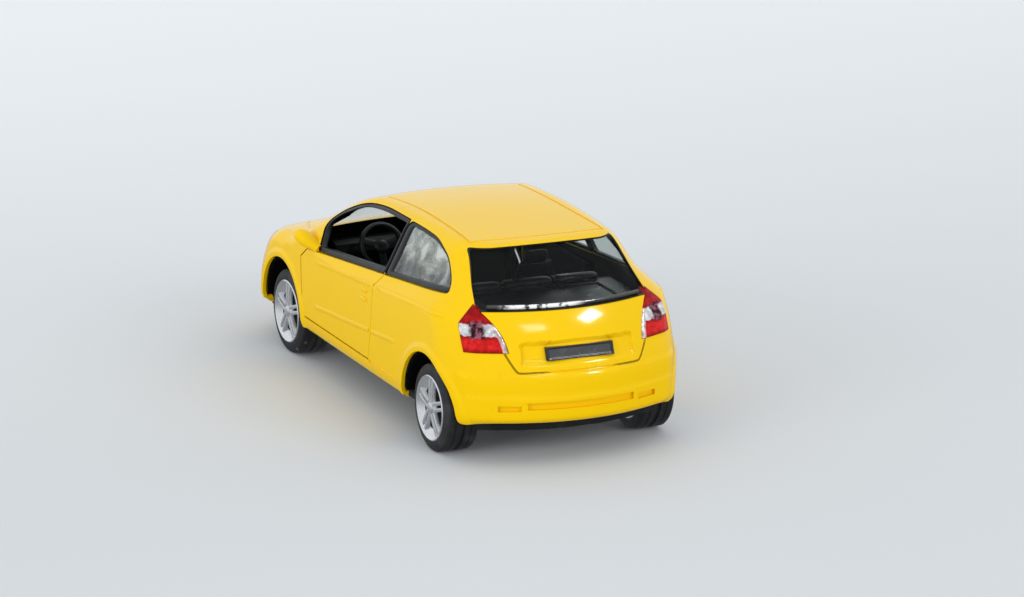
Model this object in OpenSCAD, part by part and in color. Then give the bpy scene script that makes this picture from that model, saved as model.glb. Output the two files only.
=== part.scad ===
// Toy hatchback car with two opening doors and free-running wheels.
// The frame has +X forward, +Y to the car's left and +Z up, with the ground at zero height.

/* [Body] */
// Length over the bumpers
body_l = 114.8; // [112:0.2:118]
// Width across the flanks
body_w = 49.4; // [48.6:0.1:50.6]
// Height of the roof above the ground
roof_z = 40; // [39.4:0.1:41.4]
// Height of the lower body edge above the ground
sill_z = 7; // [6.8:0.1:7.3]
// Thickness of the cast wall
wall = 1.4; // [1.2:0.1:1.5]

/* [Flanks] */
// Half length over which the flanks run straight
straight_half = 18; // [14:0.5:22]
// How far the flanks draw in at the rear end
rear_taper = 2.2; // [1.6:0.1:2.8]
// How far the flanks draw in at the front end
front_taper = 2; // [1.4:0.1:2.6]
// Height of the tucked-in sill band
sill_h = 3; // [2.6:0.1:3.2]
// How far the sill tucks in
sill_tuck = 0.9; // [0.6:0.1:1.2]
// How far the flank falls in over its curve height
belly_drop = 0.36; // [0.2:0.02:0.5]
// Height of the widest line of the flank
belly_z = 15; // [14:0.2:16]
// Curve height of the flank
belly_h = 10; // [9:0.2:12]
// Height of the shoulder crease at mid length
crease_mid_z = 24.8; // [24.4:0.1:25.2]
// Rise of the shoulder crease from mid length to the rear end
crease_rise = 4.2; // [3.8:0.1:4.6]
// Softness of the shoulder crease
crease_soft = 0.5; // [0.3:0.1:0.8]

/* [Upper body] */
// Height of the window belt at mid length
belt_mid_z = 26.5; // [26.2:0.1:26.9]
// Rise of the window belt from mid length to the rear end
belt_rise = 5.7; // [5.3:0.1:6]
// Width across the windows at belt height
belt_w = 46.4; // [45.8:0.1:47]
// How far the upper body draws in at the rear end
upper_taper = 3.6; // [3:0.1:4.2]
// Half length from which the upper body draws in
upper_straight = 12; // [10:0.5:14]
// Place of the highest point of the roof along the car
roof_peak_x = -16; // [-20:0.5:-12]
// Length over which the roof falls by its drops
roof_run = 20; // [18:0.5:24]
// Fall of the roof behind its highest point
roof_rear_drop = 0.35; // [0.2:0.05:0.5]
// Fall of the roof ahead of its highest point
roof_front_drop = 0.75; // [0.5:0.05:1]
// Half width over which the roof falls by its crown
roof_half = 16; // [15:0.5:18]
// Crown of the roof
roof_crown = 1.25; // [0.9:0.05:1.5]
// Distance of the windscreen foot behind the nose
screen_back = 26.4; // [25.6:0.2:27.2]
// Height of the windscreen foot
screen_foot_z = 26.8; // [26.5:0.1:27.1]
// Bow of the windscreen across the car
screen_bow = 5.1; // [4.4:0.1:5.8]

/* [Front and rear] */
// How far the rear corners lie ahead of the middle
rear_bow = 8.4; // [7.8:0.1:9]
// How far the tailgate leans forward below its window
rear_lean = 6.3; // [5.8:0.1:6.8]
// Height at which the tailgate starts to lean
tail_z = 15; // [14.4:0.1:15.6]
// Height of the lower edge of the rear window
rear_sill_z = 29; // [28.7:0.1:29.4]
// How far the tailgate is set back from the bumper
bumper_step = 0.5; // [0.3:0.1:0.8]
// Height of the top of the rear bumper
bumper_z = 17.6; // [17.2:0.1:18]
// Height of the rounded top of the bumper
bumper_step_h = 0.8; // [0.6:0.1:1.2]
// How far the lower edge of the bumpers tucks in
end_tuck = 1; // [0.7:0.1:1.3]
// How far the front corners lie behind the middle
front_bow = 8.1; // [7.4:0.1:8.8]
// How far the nose leans back over its height
nose_lean = 9; // [8.4:0.1:9.6]
// Height at which the nose starts to lean
nose_z = 10; // [9.4:0.1:10.6]
// Height over which the nose leans
nose_h = 14; // [13:0.2:15]
// Height of the bonnet at the windscreen
bonnet_z = 26.6; // [26.3:0.1:26.9]
// Distance of the bonnet's rear edge behind the nose
bonnet_back = 29.4; // [28.6:0.2:30.2]
// Length of the bonnet
bonnet_l = 26; // [25:0.2:27]
// Steady fall of the bonnet over its length
bonnet_drop = 2.2; // [1.8:0.1:2.6]
// Extra fall of the bonnet towards the nose
bonnet_fall = 3.3; // [2.8:0.1:3.8]
// Crown of the bonnet across the car
bonnet_crown = 1.7; // [1.3:0.1:2.1]

/* [Edges] */
// Rounding of the upright corners
corner_r = 5; // [4.4:0.1:5.6]
// Rounding of the roof and bonnet edges
top_r = 2.4; // [2:0.1:2.8]
// Rounding of the lower edge
low_r = 1.2; // [0.8:0.1:1.4]
// Rounding between windscreen and roof
screen_r = 2; // [1.6:0.1:2.4]
// Fillet between bonnet and windscreen
cowl_r = 0.8; // [0.5:0.1:1.2]
// Depth of the panel lines
groove = 0.35; // [0.2:0.05:0.5]
// Width of the panel lines
groove_w = 0.5; // [0.4:0.05:0.7]

/* [Wheels] */
// Distance between the axles
wheelbase = 72.2; // [71:0.2:73.4]
// Distance of the rear axle from the rear end
rear_overhang = 18.2; // [17.6:0.2:18.8]
// Outer diameter of the tyres
tyre_d = 16.8; // [16.4:0.1:17.2]
// Width of the tyres
tyre_w = 7.2; // [6.8:0.1:7.4]
// Outer diameter of the rims
rim_d = 12.7; // [12.3:0.1:13]
// How far the tyre stands inside the widest flank
wheel_inset = 0.9; // [0.7:0.1:1.2]
// Number of spoke pairs in a rim
spoke_pairs = 5; // [4:1:6]
// Diameter of the axles
axle_d = 1.6; // [1.4:0.1:1.8]
// Radial play of the axles in their bearings
axle_play = 0.05; // [0.03:0.01:0.08]
// Radius of the front wheel arches
front_arch_r = 11; // [10.8:0.1:11.4]
// Radius of the rear wheel arches
rear_arch_r = 11.9; // [11.5:0.1:12.2]
// Width of the wheel arch lips
lip_w = 1.1; // [0.8:0.1:1.3]
// How far the wheel arch lips stand out
lip = 0.3; // [0.15:0.05:0.4]

/* [Doors] */
// Place of the door's front edge along the car
door_front_x = 22.9; // [22.6:0.1:23.2]
// How far the front edge runs forward at the crease
door_front_kick = 1.1; // [0.8:0.1:1.4]
// How far the front edge falls back at the belt
door_front_cut = 1.9; // [1.6:0.1:2.2]
// Place of the door's rear edge along the car
door_rear_x = -12.2; // [-12.6:0.1:-11.8]
// How far the rear edge runs forward at the sill
door_rear_kick = 1.4; // [1.1:0.1:1.7]
// How far the rear edge falls back at the belt
door_rear_cut = 1.5; // [1.2:0.1:1.8]
// Height of the door's lower edge
door_low_z = 10.5; // [10.3:0.1:10.7]
// Gap round the door
door_gap = 0.45; // [0.4:0.05:0.55]
// Distance of the hinge axis behind the door's front edge
hinge_back = 3.2; // [3.1:0.1:3.4]
// Depth of the hinge axis below the widest flank
hinge_depth = 1.6; // [1.55:0.05:1.7]
// Thickness of the door at its hinge
hinge_wall = 0.45; // [0.4:0.05:0.5]
// Diameter of the hinge pins
pin_d = 0.8; // [0.7:0.05:0.9]
// Radial play of the hinge pins in their lugs
pin_play = 0.05; // [0.03:0.01:0.08]

/* [Windows] */
// Place of the front end of the side windows
window_front_x = 18.4; // [18.1:0.1:18.7]
// Place of the rear end of the side windows
window_rear_x = -39.3; // [-39.7:0.1:-38.9]
// Height of the upper edge of the side windows
window_top_z = 37.9; // [37.6:0.1:38.1]
// Place of the split between door window and quarter window
window_split_x = -13.6; // [-13.9:0.1:-13.3]
// Width of the black window frames
frame_w = 1.1; // [0.9:0.1:1.3]
// Thickness of the black window frames
frame_t = 1; // [0.9:0.05:1.1]
// How far the window frames lie below the paint
frame_sink = 0.2; // [0.1:0.05:0.3]
// Fit between pieces that stand still
fit = 0.1; // [0.06:0.02:0.14]
// Thickness of the clear moulding
glass_t = 0.9; // [0.7:0.05:1.1]
// Half width of the windscreen opening at its top
screen_top_half = 13.6; // [13:0.1:14]
// Half width of the windscreen opening at its foot
screen_foot_half = 18.6; // [18:0.1:19]
// Height of the upper edge of the windscreen opening
screen_top_z = 38; // [37.7:0.1:38.2]
// Half width of the rear window opening at its top
rear_top_half = 14.4; // [14:0.1:14.7]
// Half width of the rear window opening at its foot
rear_foot_half = 17.2; // [16.8:0.1:17.5]
// Height of the upper corners of the rear window opening
rear_top_z = 37.4; // [37.1:0.1:37.6]
// Rise of the rear window's edges in the middle
rear_window_bow = 1; // [0.7:0.1:1.2]
// Corner rounding of the window openings
window_r = 0.8; // [0.5:0.1:1]

/* [Lamps and trim] */
// Height of the lower edge of the tail lights
tail_low_z = 21.7; // [21.4:0.1:22]
// Height of the outer corner of the tail lights
tail_side_z = 26.6; // [26.3:0.1:26.9]
// Height of the tip of the tail lights
tail_tip_z = 29.5; // [29.2:0.1:29.7]
// How far the lamps stand out of the paint
lamp_proud = 0.2; // [0.1:0.05:0.3]
// Thickness of the lamp mouldings
lamp_t = 2.2; // [2:0.1:2.4]
// Width of the number plate
plate_w = 13.8; // [13.2:0.1:14.4]
// Height of the number plate
plate_h = 2.5; // [2.2:0.1:2.7]
// Thickness of the number plate
plate_t = 0.5; // [0.4:0.05:0.6]
// Height of the middle of the number plate
plate_z = 21.3; // [21:0.1:21.6]
// Half width of the shallow recess round the plate
recess_half = 11.4; // [11:0.1:11.8]
// Height of the shallow recess round the plate
recess_h = 3.4; // [3.1:0.1:3.7]
// Height of the slots in the rear bumper
slot_z = 10.7; // [10.4:0.1:11]
// Width of the slots in the rear bumper
slot_h = 1; // [0.8:0.1:1.2]
// Half width of the front grille
grille_half = 9; // [8.4:0.2:9.6]
// Height of the middle of the front grille
grille_z = 12.6; // [12.3:0.1:12.9]
// Height of the front grille
grille_h = 3.4; // [3:0.1:3.8]
// Length of the mirrors out from the door
mirror_l = 3.6; // [3.2:0.1:4]
// Height of the mirrors
mirror_h = 2.7; // [2.5:0.1:2.9]
// Depth of the mirrors along the car
mirror_t = 2.8; // [2.4:0.1:3]

/* [Cabin] */
// Height of the cabin floor
floor_z = 9; // [8.9:0.1:9.2]
// Thickness of the cabin tub
tub_t = 1; // [0.9:0.05:1.2]
// Half width of the cabin tub
tub_half = 20.4; // [20.2:0.1:20.6]
// Place of the front end of the tub
tub_front_x = 21.6; // [21.4:0.1:21.8]
// Height of the parcel shelf
shelf_z = 27.4; // [27.2:0.1:27.6]
// Place of the front edge of the parcel shelf
shelf_front_x = -29; // [-29.6:0.1:-28.4]
// Place of the rear edge of the parcel shelf
shelf_rear_x = -47; // [-47.4:0.1:-46.6]
// Width of the front seats
seat_w = 9.4; // [9:0.1:9.8]
// Distance of the front seats from the middle of the car
seat_y = 9.8; // [9.4:0.1:10.2]
// Diameter of the steering wheel
steer_d = 9.6; // [9:0.1:10]
// Thickness of the steering wheel's rim
steer_t = 1; // [0.8:0.1:1.2]
// Lean of the steering wheel in degrees
steer_tilt = 24; // [18:1:30]

/* [Chassis] */
// Height of the underside of the chassis
base_z = 6.1; // [5.9:0.1:6.3]
// Thickness of the chassis plate
base_t = 1.9; // [1.7:0.1:2]
// Half width of the chassis plate
base_half = 21.2; // [21:0.1:21.4]
// Diameter of the chassis screws' heads
screw_head_d = 4; // [3.6:0.1:4.4]
// Diameter of the chassis screws' shanks
screw_d = 2; // [1.8:0.1:2.2]
// Diameter of the body posts that take the screws
post_d = 4.6; // [4.2:0.1:5]

/* [Hidden] */
$fn = 48;

paint = "gold";
black = [0.08, 0.08, 0.09];
overrun = 1;
half_l = body_l / 2;
half_w = body_w / 2;
sill_top_z = sill_z + sill_h;
rear_axle_x = rear_overhang - half_l;
front_axle_x = rear_axle_x + wheelbase;
axle_z = tyre_d / 2;
wheel_y = half_w - wheel_inset - tyre_w / 2;
cowl_x = half_l - bonnet_back;
screen_x = half_l - screen_back;

// Lean of each face, run over rise
shoulder_share = 0.75;
window_share = 0.5;
screen_share = 1.86;
rear_glass_share = 1.1;
tail_curve_share = 2.2;
// Factors that bring a leaning face back to true distance
flank_share = 0.93;
end_share = 0.85;

// Body surface

// A ramp from zero that turns softly into a straight rise
function ramp(t, soft) = (t + sqrt(t * t + soft * soft)) / 2;
// A smooth step from 0 to 1
function ease(t) = let (s = min(max(t, 0), 1)) s * s * (3 - 2 * s);
// Common part of two signed distances with a rounded edge, and their sum with a fillet
function meet(a, b, r) = min(-r, max(a, b)) + norm([max(r + a, 0), max(r + b, 0)]);
function join(a, b, r) = -meet(-a, -b, r);

function belt_z(x) = belt_mid_z - belt_rise * x / half_l;
function crease_z(x) = crease_mid_z - crease_rise * x / half_l;
function tuck(z) = pow(max(sill_top_z - z, 0) / sill_h, 2);
function beyond(x, from) = pow(max(x - from, 0) / (half_l - from), 2);
// Half width of the flank below the shoulder
function flank(x, z) = half_w - rear_taper * beyond(-x, straight_half)
    - front_taper * beyond(x, straight_half) - sill_tuck * tuck(z)
    - belly_drop * pow((z - belly_z) / belly_h, 2);
// Half width of the whole side: flank, shoulder and leaning windows
function half_width(x, z) = let (
        low = flank(x, z),
        shoulder = low - shoulder_share * ramp(z - crease_z(x), crease_soft),
        window = belt_w / 2 - window_share * (z - belt_mid_z) - upper_taper * beyond(-x, upper_straight))
    min(low, shoulder + ramp(window - shoulder, crease_soft));
// Place of the rear face: bumper, tailgate and rear window
function rear_face(y, z) = let (h = rear_sill_z - tail_z)
    -half_l + rear_bow * pow(y / half_w, 2) + end_tuck * tuck(z)
    + rear_lean * pow(min(max(z - tail_z, 0), h) / h, tail_curve_share)
    + rear_glass_share * max(z - rear_sill_z, 0)
    + bumper_step * ease((z - bumper_z) / bumper_step_h + 1 / 2);
// Place of the front face
function front_face(y, z) = half_l - front_bow * pow(y / half_w, 2) - end_tuck * tuck(z)
    - nose_lean * pow(max(z - nose_z, 0) / nose_h, 2);
// Signed height over the bonnet, windscreen and roof
function over_top(x, y, z) = let (
        s = max(x - cowl_x, 0) / bonnet_l,
        bonnet = z - bonnet_z + bonnet_drop * s + bonnet_fall * pow(s, 3) + bonnet_crown * pow(y / half_w, 2),
        foot = screen_x - screen_share * (z - screen_foot_z) - screen_bow * pow(y / half_w, 2),
        run = (x - roof_peak_x) / roof_run,
        roof = z - roof_z + (run < 0 ? roof_rear_drop : roof_front_drop) * run * run
            + roof_crown * pow(y / roof_half, 2))
    join(bonnet, meet((x - foot) / norm([1, screen_share]), roof, screen_r), cowl_r);
// Signed distance from the painted surface, negative inside; low is the height of the underside
function skin(p, low = sill_z) = let (
        sides = meet((abs(p.y) - half_width(p.x, p.z)) * flank_share,
            (rear_face(p.y, p.z) - p.x) * end_share, corner_r),
        walls = meet(sides, (p.x - front_face(p.y, p.z)) * end_share, corner_r))
    meet(meet(walls, over_top(p.x, p.y, p.z), top_r), low - p.z, low_r);
// Point of the line from a, inside, to b, outside, that lies at the given depth below the paint
steps = 15;
function on_skin(a, b, depth = 0, low = sill_z, n = steps) = let (m = (a + b) / 2)
    n == 0 ? m
    : skin(m, low) < -depth ? on_skin(m, b, depth, low, n - 1) : on_skin(a, m, depth, low, n - 1);
// Outward direction of the surface near a point
probe = 0.05;
function outward(p) = let (
        d = [for (e = [[probe, 0, 0], [0, probe, 0], [0, 0, probe]]) skin(p + e) - skin(p - e)])
    d / norm(d);
// Point of the left side over a place x, z, sunk below the paint along the surface's own direction
function side_point(x, z, depth = 0) = let (p = on_skin([x, 0, z], [x, half_w + overrun, z]))
    p - depth * outward(p);
// Point of the left side over a place, sunk straight across the car
function across_point(p, depth) = on_skin([p.x, 0, p.y], [p.x, half_w + overrun, p.y]) - [0, depth, 0];

// Solids from point grids

// Closed slab between two grids of points with equal rows
module slab(outer, inner) {
    n = len(outer);
    m = len(outer[0]);
    k = n * m;
    faces = [
        for (i = [0 : n - 2], j = [0 : m - 2]) each let (a = i * m + j) [
            [a, a + m, a + m + 1], [a, a + m + 1, a + 1],
            [k + a, k + a + m + 1, k + a + m], [k + a, k + a + 1, k + a + m + 1]],
        for (i = [0 : n - 2]) each let (a = i * m, b = a + m - 1) [
            [a, k + a, k + a + m], [a, k + a + m, a + m],
            [b, b + m, k + b + m], [b, k + b + m, k + b]],
        for (j = [0 : m - 2]) each let (a = j, b = k - m + j) [
            [a, a + 1, k + a + 1], [a, k + a + 1, k + a],
            [b, k + b, k + b + 1], [b, k + b + 1, b + 1]]];
    polyhedron([for (row = outer) each row, for (row = inner) each row], faces);
}
// Closed tube through a closed row of sections
module hoop(sections) {
    n = len(sections);
    m = len(sections[0]);
    faces = [for (i = [0 : n - 1], j = [0 : m - 1]) each let (
            near = i * m,
            far = ((i + 1) % n) * m,
            k = (j + 1) % m,
            a = near + j, b = near + k, c = far + j, d = far + k)
        [[a, d, b], [a, c, d]]];
    polyhedron([for (s = sections) each s], faces);
}

// Straight lines run from an inner core box to an outer cage box and stop at the surface
cage_gap = 3;
core_l_share = 0.66;
core_w_share = 0.53;
core_low_share = 0.28;
core_high_share = 0.5;
cage_top_share = 1.9;
cage_size = [half_l + cage_gap, half_w + cage_gap, (roof_z * cage_top_share + cage_gap) / 2];
cage_mid = [0, 0, cage_size.z - cage_gap];
core_size = [half_l * core_l_share, half_w * core_w_share, roof_z * (core_high_share - core_low_share) / 2];
core_mid = [0, 0, roof_z * (core_high_share + core_low_share) / 2];
// Place from -1 to 1 that crowds towards both ends
function crowd(t) = sin(180 * t - 90);
// Place on the edge of a unit square, walked round in steps across and up
function edge_place(j, across, up) =
    j < across ? [crowd(j / across), 1]
    : j < across + up ? [1, crowd(1 - (j - across) / up)]
    : j < 2 * across + up ? [crowd(1 - (j - across - up) / across), -1]
    : [-1, crowd((j - 2 * across - up) / up)];
function boxed(unit, size, mid) = mid + [unit.x * size.x, unit.y * size.y, unit.z * size.z];
function form_point(unit, depth, low) =
    on_skin(boxed(unit, core_size, core_mid), boxed(unit, cage_size, cage_mid), depth, low);
// The body's form at a depth below the paint: rings from the tail to the nose
along = 28;
across = 10;
up = 8;
caps = 6;
around = 2 * (across + up);
module form(depth, low = sill_z) {
    rings = [
        for (i = [1 : caps]) [-1, sin(90 * i / caps)],
        for (i = [1 : along]) [2 * i / along - 1, 1],
        for (i = [caps - 1 : -1 : 1]) [1, sin(90 * i / caps)]];
    n = len(rings);
    points = [
        for (r = rings, j = [0 : around - 1]) let (e = edge_place(j, across, up) * r[1])
            form_point([r[0], e.x, e.y], depth, low),
        form_point([-1, 0, 0], depth, low),
        form_point([1, 0, 0], depth, low)];
    faces = [
        for (i = [0 : n - 2], j = [0 : around - 1]) each let (
                a = i * around + j, b = i * around + (j + 1) % around)
            [[a, b, b + around], [a, b + around, a + around]],
        for (j = [0 : around - 1]) each let (k = (n - 1) * around) [
            [n * around, (j + 1) % around, j],
            [n * around + 1, k + j, k + (j + 1) % around]]];
    polyhedron(points, faces);
}
// Prism with a side-view outline of x, z places, from y = near to y = far
module across_prism(outline, near, far) {
    translate([0, far, 0])
        rotate([90, 0, 0])
            linear_extrude(far - near)
                polygon(outline);
}
// Longest straight run along a curved edge
run_l = 5;
// Outline moved to the right of its walk by a distance: inward when it runs clockwise
function unit2(v) = v / norm(v);
function moved(loop, d) = [for (i = [0 : len(loop) - 1]) let (
        n = len(loop),
        e = unit2(loop[i] - loop[(i + n - 1) % n]),
        f = unit2(loop[(i + 1) % n] - loop[i]),
        p = [e.y, -e.x], q = [f.y, -f.x])
    loop[i] + d * (p + q) / (1 + p * q)];
module both_sides() {
    children();
    mirror([0, 1, 0]) children();
}
module right_side() {
    mirror([0, 1, 0]) children();
}

// Side windows and doors

// Places round the side windows from the front corner over the roof to the rear corner:
// share of the window length from its front, share of the height between belt and top
window_shares = [[0.042, 0], [0, 0.43], [0.059, 0.63], [0.205, 0.9], [0.348, 0.98], [0.52, 1],
    [0.669, 1], [0.787, 0.965], [0.894, 0.75], [0.952, 0.4], [1, 0]];
window_l = window_front_x - window_rear_x;
function window_place(s) = let (x = window_front_x - s[0] * window_l)
    [x, belt_z(x) + s[1] * (window_top_z - belt_z(x))];
window_loop = [for (s = window_shares) window_place(s)];
split_top = [window_split_x, window_top_z];
split_low = [window_split_x, belt_z(window_split_x)];
split_gap = [door_gap / 2, 0];
door_window_loop = concat([for (p = window_loop) if (p.x > window_split_x) p],
    [split_top + split_gap, split_low + split_gap]);
quarter_loop = concat([split_low - split_gap, split_top - split_gap],
    [for (p = window_loop) if (p.x < window_split_x) p]);

// Door edges over the share of the height from the lower edge to the belt
door_kick_share = 0.86;
door_straight_share = 0.36;
function door_front(v) = lookup(v, [[0, door_front_x], [door_straight_share, door_front_x],
    [door_kick_share, door_front_x + door_front_kick], [1, door_front_x - door_front_cut]]);
function door_rear(v) = lookup(v, [[0, door_rear_x + door_rear_kick], [door_straight_share, door_rear_x],
    [door_kick_share, door_rear_x], [1, door_rear_x - door_rear_cut]]);
function door_place(u, v) = let (x = door_rear(v) + u * (door_front(v) - door_rear(v)))
    [x, door_low_z + v * (belt_z(x) - fit - door_low_z)];
door_height_shares = [0, 0.18, door_straight_share, 0.55, 0.72, door_kick_share, 0.93, 1];
door_loop = concat([for (v = door_height_shares) door_place(0, v)],
    [for (k = [len(door_height_shares) - 1 : -1 : 0]) door_place(1, door_height_shares[k])]);
hinge_x = door_front_x - hinge_back;
hinge_y = half_w - hinge_depth;
hinge_relief = 2.6;
// Thickness of the door skin, thin ahead of the relief for its hinge
function door_wall(x) = x > hinge_x - hinge_relief ? hinge_wall : wall;

// Rub strip along the flank from its front end to its rear end
strip_front_x = 16.4;
strip_rear_x = -24.6;
strip_front_z = 13.9;
strip_rear_z = 17.5;
strip_h = 0.8;
strip_proud = 0.16;
strip_runs = 6;
function strip_z(x) = strip_front_z
    + (strip_rear_z - strip_front_z) * (x - strip_front_x) / (strip_rear_x - strip_front_x);
module bead(x, z, d, proud) {
    translate([x, half_width(x, z) + proud - d / 2, z])
        sphere(d = d, $fn = 10);
}
// Raised bead between two places along the flank, in short straight runs
module rub_strip(from, to) {
    for (k = [0 : strip_runs - 1])
        hull()
            for (t = [k, k + 1]) {
                x = from + (to - from) * t / strip_runs;
                bead(x, strip_z(x), strip_h, strip_proud);
            }
}
handle_x = -8.6;
handle_z = 22.9;
handle_l = 2.6;
handle_h = 0.9;
handle_proud = 0.35;
module door_handle() {
    for (lift = [-handle_h, handle_h])
        hull()
            for (reach = [-handle_l, handle_l])
                bead(handle_x + reach / 2, handle_z + lift / 2, handle_h, handle_proud);
}

// Lamps: corner places are given along the slanted front of the lamp and in height
tail_turn = 135;
tail_tip_s = 19.5;
tail_side_s = 17.7;
tail_outer_s = 19.6;
tail_inner_s = 27.6;
head_turn = 45;
head_low_z = 17.8;
head_high_z = 22.2;
head_outer_s = -14.6;
head_inner_s = -28;
head_rake = 1.5;
tail_corners = [[tail_side_s, tail_side_z], [tail_outer_s, tail_low_z], [tail_inner_s, tail_low_z],
    [tail_tip_s, tail_tip_z]];
head_corners = [[head_inner_s + head_rake, head_high_z - head_rake], [head_inner_s, head_low_z],
    [head_outer_s - head_rake, head_low_z], [head_outer_s, head_high_z]];
grille_corners = [[-grille_half, grille_z + grille_h / 2], [-grille_half, grille_z - grille_h / 2],
    [grille_half, grille_z - grille_h / 2], [grille_half, grille_z + grille_h / 2]];
lamp_reach = half_l + half_w;
// Place ahead of the lamp: a distance out along its facing, a place along it and a height
function lamp_place(turn, s, z, out) =
    [out * cos(turn) - s * sin(turn), out * sin(turn) + s * cos(turn), z];
lamp_runs = 6;
// Grid of places over a four-cornered lamp; every second row lies deeper by the rib
function lamp_grid(turn, c, depth, rib = 0, runs = lamp_runs) =
    [for (i = [0 : runs]) [for (j = [0 : runs]) let (
        a = i / runs,
        b = j / runs,
        q = (1 - a) * ((1 - b) * c[0] + b * c[1]) + a * ((1 - b) * c[3] + b * c[2]))
    on_skin(lamp_place(turn, q.x, q.y, 0), lamp_place(turn, q.x, q.y, lamp_reach), depth + rib * (j % 2))]];
module lamp(turn, corners, proud = lamp_proud, depth = lamp_t, rib = 0, runs = lamp_runs) {
    slab(lamp_grid(turn, corners, -proud, rib, runs), lamp_grid(turn, corners, depth, 0, runs));
}
module lamp_hole(turn, corners) {
    lamp(turn, moved(corners, fit), overrun, wall + overrun);
}

// Rear window and windscreen openings, cut along the car
window_steps = 6;
function bowed(half, z, t) = [t * half, z + rear_window_bow * (1 - t * t)];
screen_low_z = screen_foot_z + window_r;
// Rounded opening of the rear window in upright strips, so that its edges can bow
module rear_opening(grow) {
    r = window_r;
    for (k = [0 : window_steps - 1])
        hull()
            for (t = [2 * k / window_steps - 1, 2 * (k + 1) / window_steps - 1],
                q = [bowed(rear_foot_half - r, rear_sill_z + r, t),
                    bowed(rear_top_half - r, rear_top_z - r, t)])
                translate([0, q.x, q.y])
                    rotate([0, -90, 0])
                        cylinder(r = r + grow, h = half_l + overrun, $fn = 24);
}
// Rounded block of the windscreen opening, looking through from inside the cabin
module screen_opening(grow) {
    r = window_r;
    hull()
        for (side = [-1, 1], q = [[screen_foot_half, screen_low_z + r], [screen_top_half, screen_top_z - r]])
            translate([0, side * (q[0] - r), q[1]])
                rotate([0, 90, 0])
                    cylinder(r = r + grow, h = half_l, $fn = 24);
}

// Rings round the side windows
pillar_w = 2.3;
quarter_inner = [for (p = moved(quarter_loop, -frame_w)) [min(p.x, window_split_x - pillar_w), p.y]];
module window_ring(outer, inner) {
    pairs = [for (i = [0 : len(outer) - 1]) let (
            k = (i + 1) % len(outer),
            n = max(1, ceil(norm(outer[k] - outer[i]) / run_l)))
        for (t = [0 : n - 1])
            [outer[i] + (outer[k] - outer[i]) * t / n, inner[i] + (inner[k] - inner[i]) * t / n]];
    hoop([for (q = pairs) [
        across_point(q[0], frame_sink),
        across_point(q[1], frame_sink),
        across_point(q[1], frame_sink + frame_t),
        across_point(q[0], frame_sink + frame_t)]]);
}

// Body shell

front_post = [front_axle_x + front_arch_r, 0, bonnet_z];
rear_post = [rear_axle_x - rear_arch_r, 0, tail_side_z];
base_top_z = base_z + base_t;
lip_shares = [0, 1, 1, 0];
lip_runs = 24;
// Raised lip round a wheel arch
module arch_lip(x, r) {
    slab([for (i = [0 : lip_runs]) [for (j = [0 : 3]) lip_point(x, r, i, j, -lip * lip_shares[j] - fit / 2)]],
        [for (i = [0 : lip_runs]) [for (j = [0 : 3]) lip_point(x, r, i, j, wall / 2)]]);
}
function lip_point(x, r, i, j, depth) = let (turn = 180 - 180 * i / lip_runs, reach = r + lip_w * (j - 1) / 2)
    side_point(x + reach * cos(turn), axle_z + reach * sin(turn), depth);
module arch_cut(x, r) {
    translate([x, half_w + overrun, axle_z])
        rotate([90, 0, 0])
            cylinder(r = r, h = wheel_inset + tyre_w + overrun);
}
// Thin upright walls along a row of places, used to sink the panel lines
module line_walls(places, h) {
    for (k = [0 : len(places) - 2])
        hull()
            for (p = [places[k], places[k + 1]])
                translate(p)
                    cylinder(d = groove_w, h = h, $fn = 8);
}
ditch_half = 13.2;
ditch_end_half = 13.8;
ditch_front_x = 5;
ditch_mid_x = -14;
ditch_rear_x = -34.4;
ditch_bow = 1.4;
bonnet_front_x = 49;
bonnet_mid_x = 40;
bonnet_front_half = 9.5;
bonnet_mid_half = 16.5;
bonnet_rear_half = 20.6;
gate_top_half = 14.2;
gate_low_half = 12.6;
slot_half = 10.7;
corner_slot_near = 11.9;
corner_slot_far = 16.9;
module roof_lines() {
    both_sides()
        line_walls([[ditch_front_x, ditch_end_half, 0], [ditch_mid_x, ditch_half, 0],
            [ditch_rear_x, ditch_end_half, 0]], roof_z + overrun);
    line_walls([[ditch_rear_x, -ditch_end_half, 0], [ditch_rear_x - ditch_bow, 0, 0],
        [ditch_rear_x, ditch_end_half, 0]], roof_z + overrun);
}
module bonnet_lines() {
    both_sides()
        line_walls([[cowl_x - ditch_bow, bonnet_rear_half, 0], [bonnet_mid_x, bonnet_mid_half, 0],
            [bonnet_front_x, bonnet_front_half, 0], [bonnet_front_x + ditch_bow, 0, 0]], roof_z);
}
// Lines, slots and the plate recess on the tail, cut along the car
module tail_lines() {
    both_sides()
        rotate([0, -90, 0])
            line_walls([[tail_low_z, gate_top_half, 0], [bumper_z + groove_w, gate_low_half, 0],
                [bumper_z + groove_w, 0, 0]], half_l + overrun);
    translate([-half_l - overrun, -recess_half, plate_z - recess_h / 2])
        cube([half_l - rear_lean, 2 * recess_half, recess_h]);
    translate([-half_l - overrun, -slot_half, slot_z - slot_h / 2])
        cube([half_l / 2, 2 * slot_half, slot_h]);
    both_sides()
        translate([-half_l - overrun, corner_slot_near, slot_z - slot_h / 2])
            cube([half_l / 2, corner_slot_far - corner_slot_near, slot_h]);
}
hinge_notch = 1.3;
lug_r = 0.8;
lug_h = 1.2;
module hinge_notch_cut() {
    translate([hinge_x - hinge_notch, hinge_y - 2 * hinge_notch, lower_lug_z - hinge_notch / 2])
        cube([2 * hinge_notch, 2 * hinge_notch + lug_r, door_low_z - lower_lug_z + hinge_notch / 2]);
}
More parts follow.
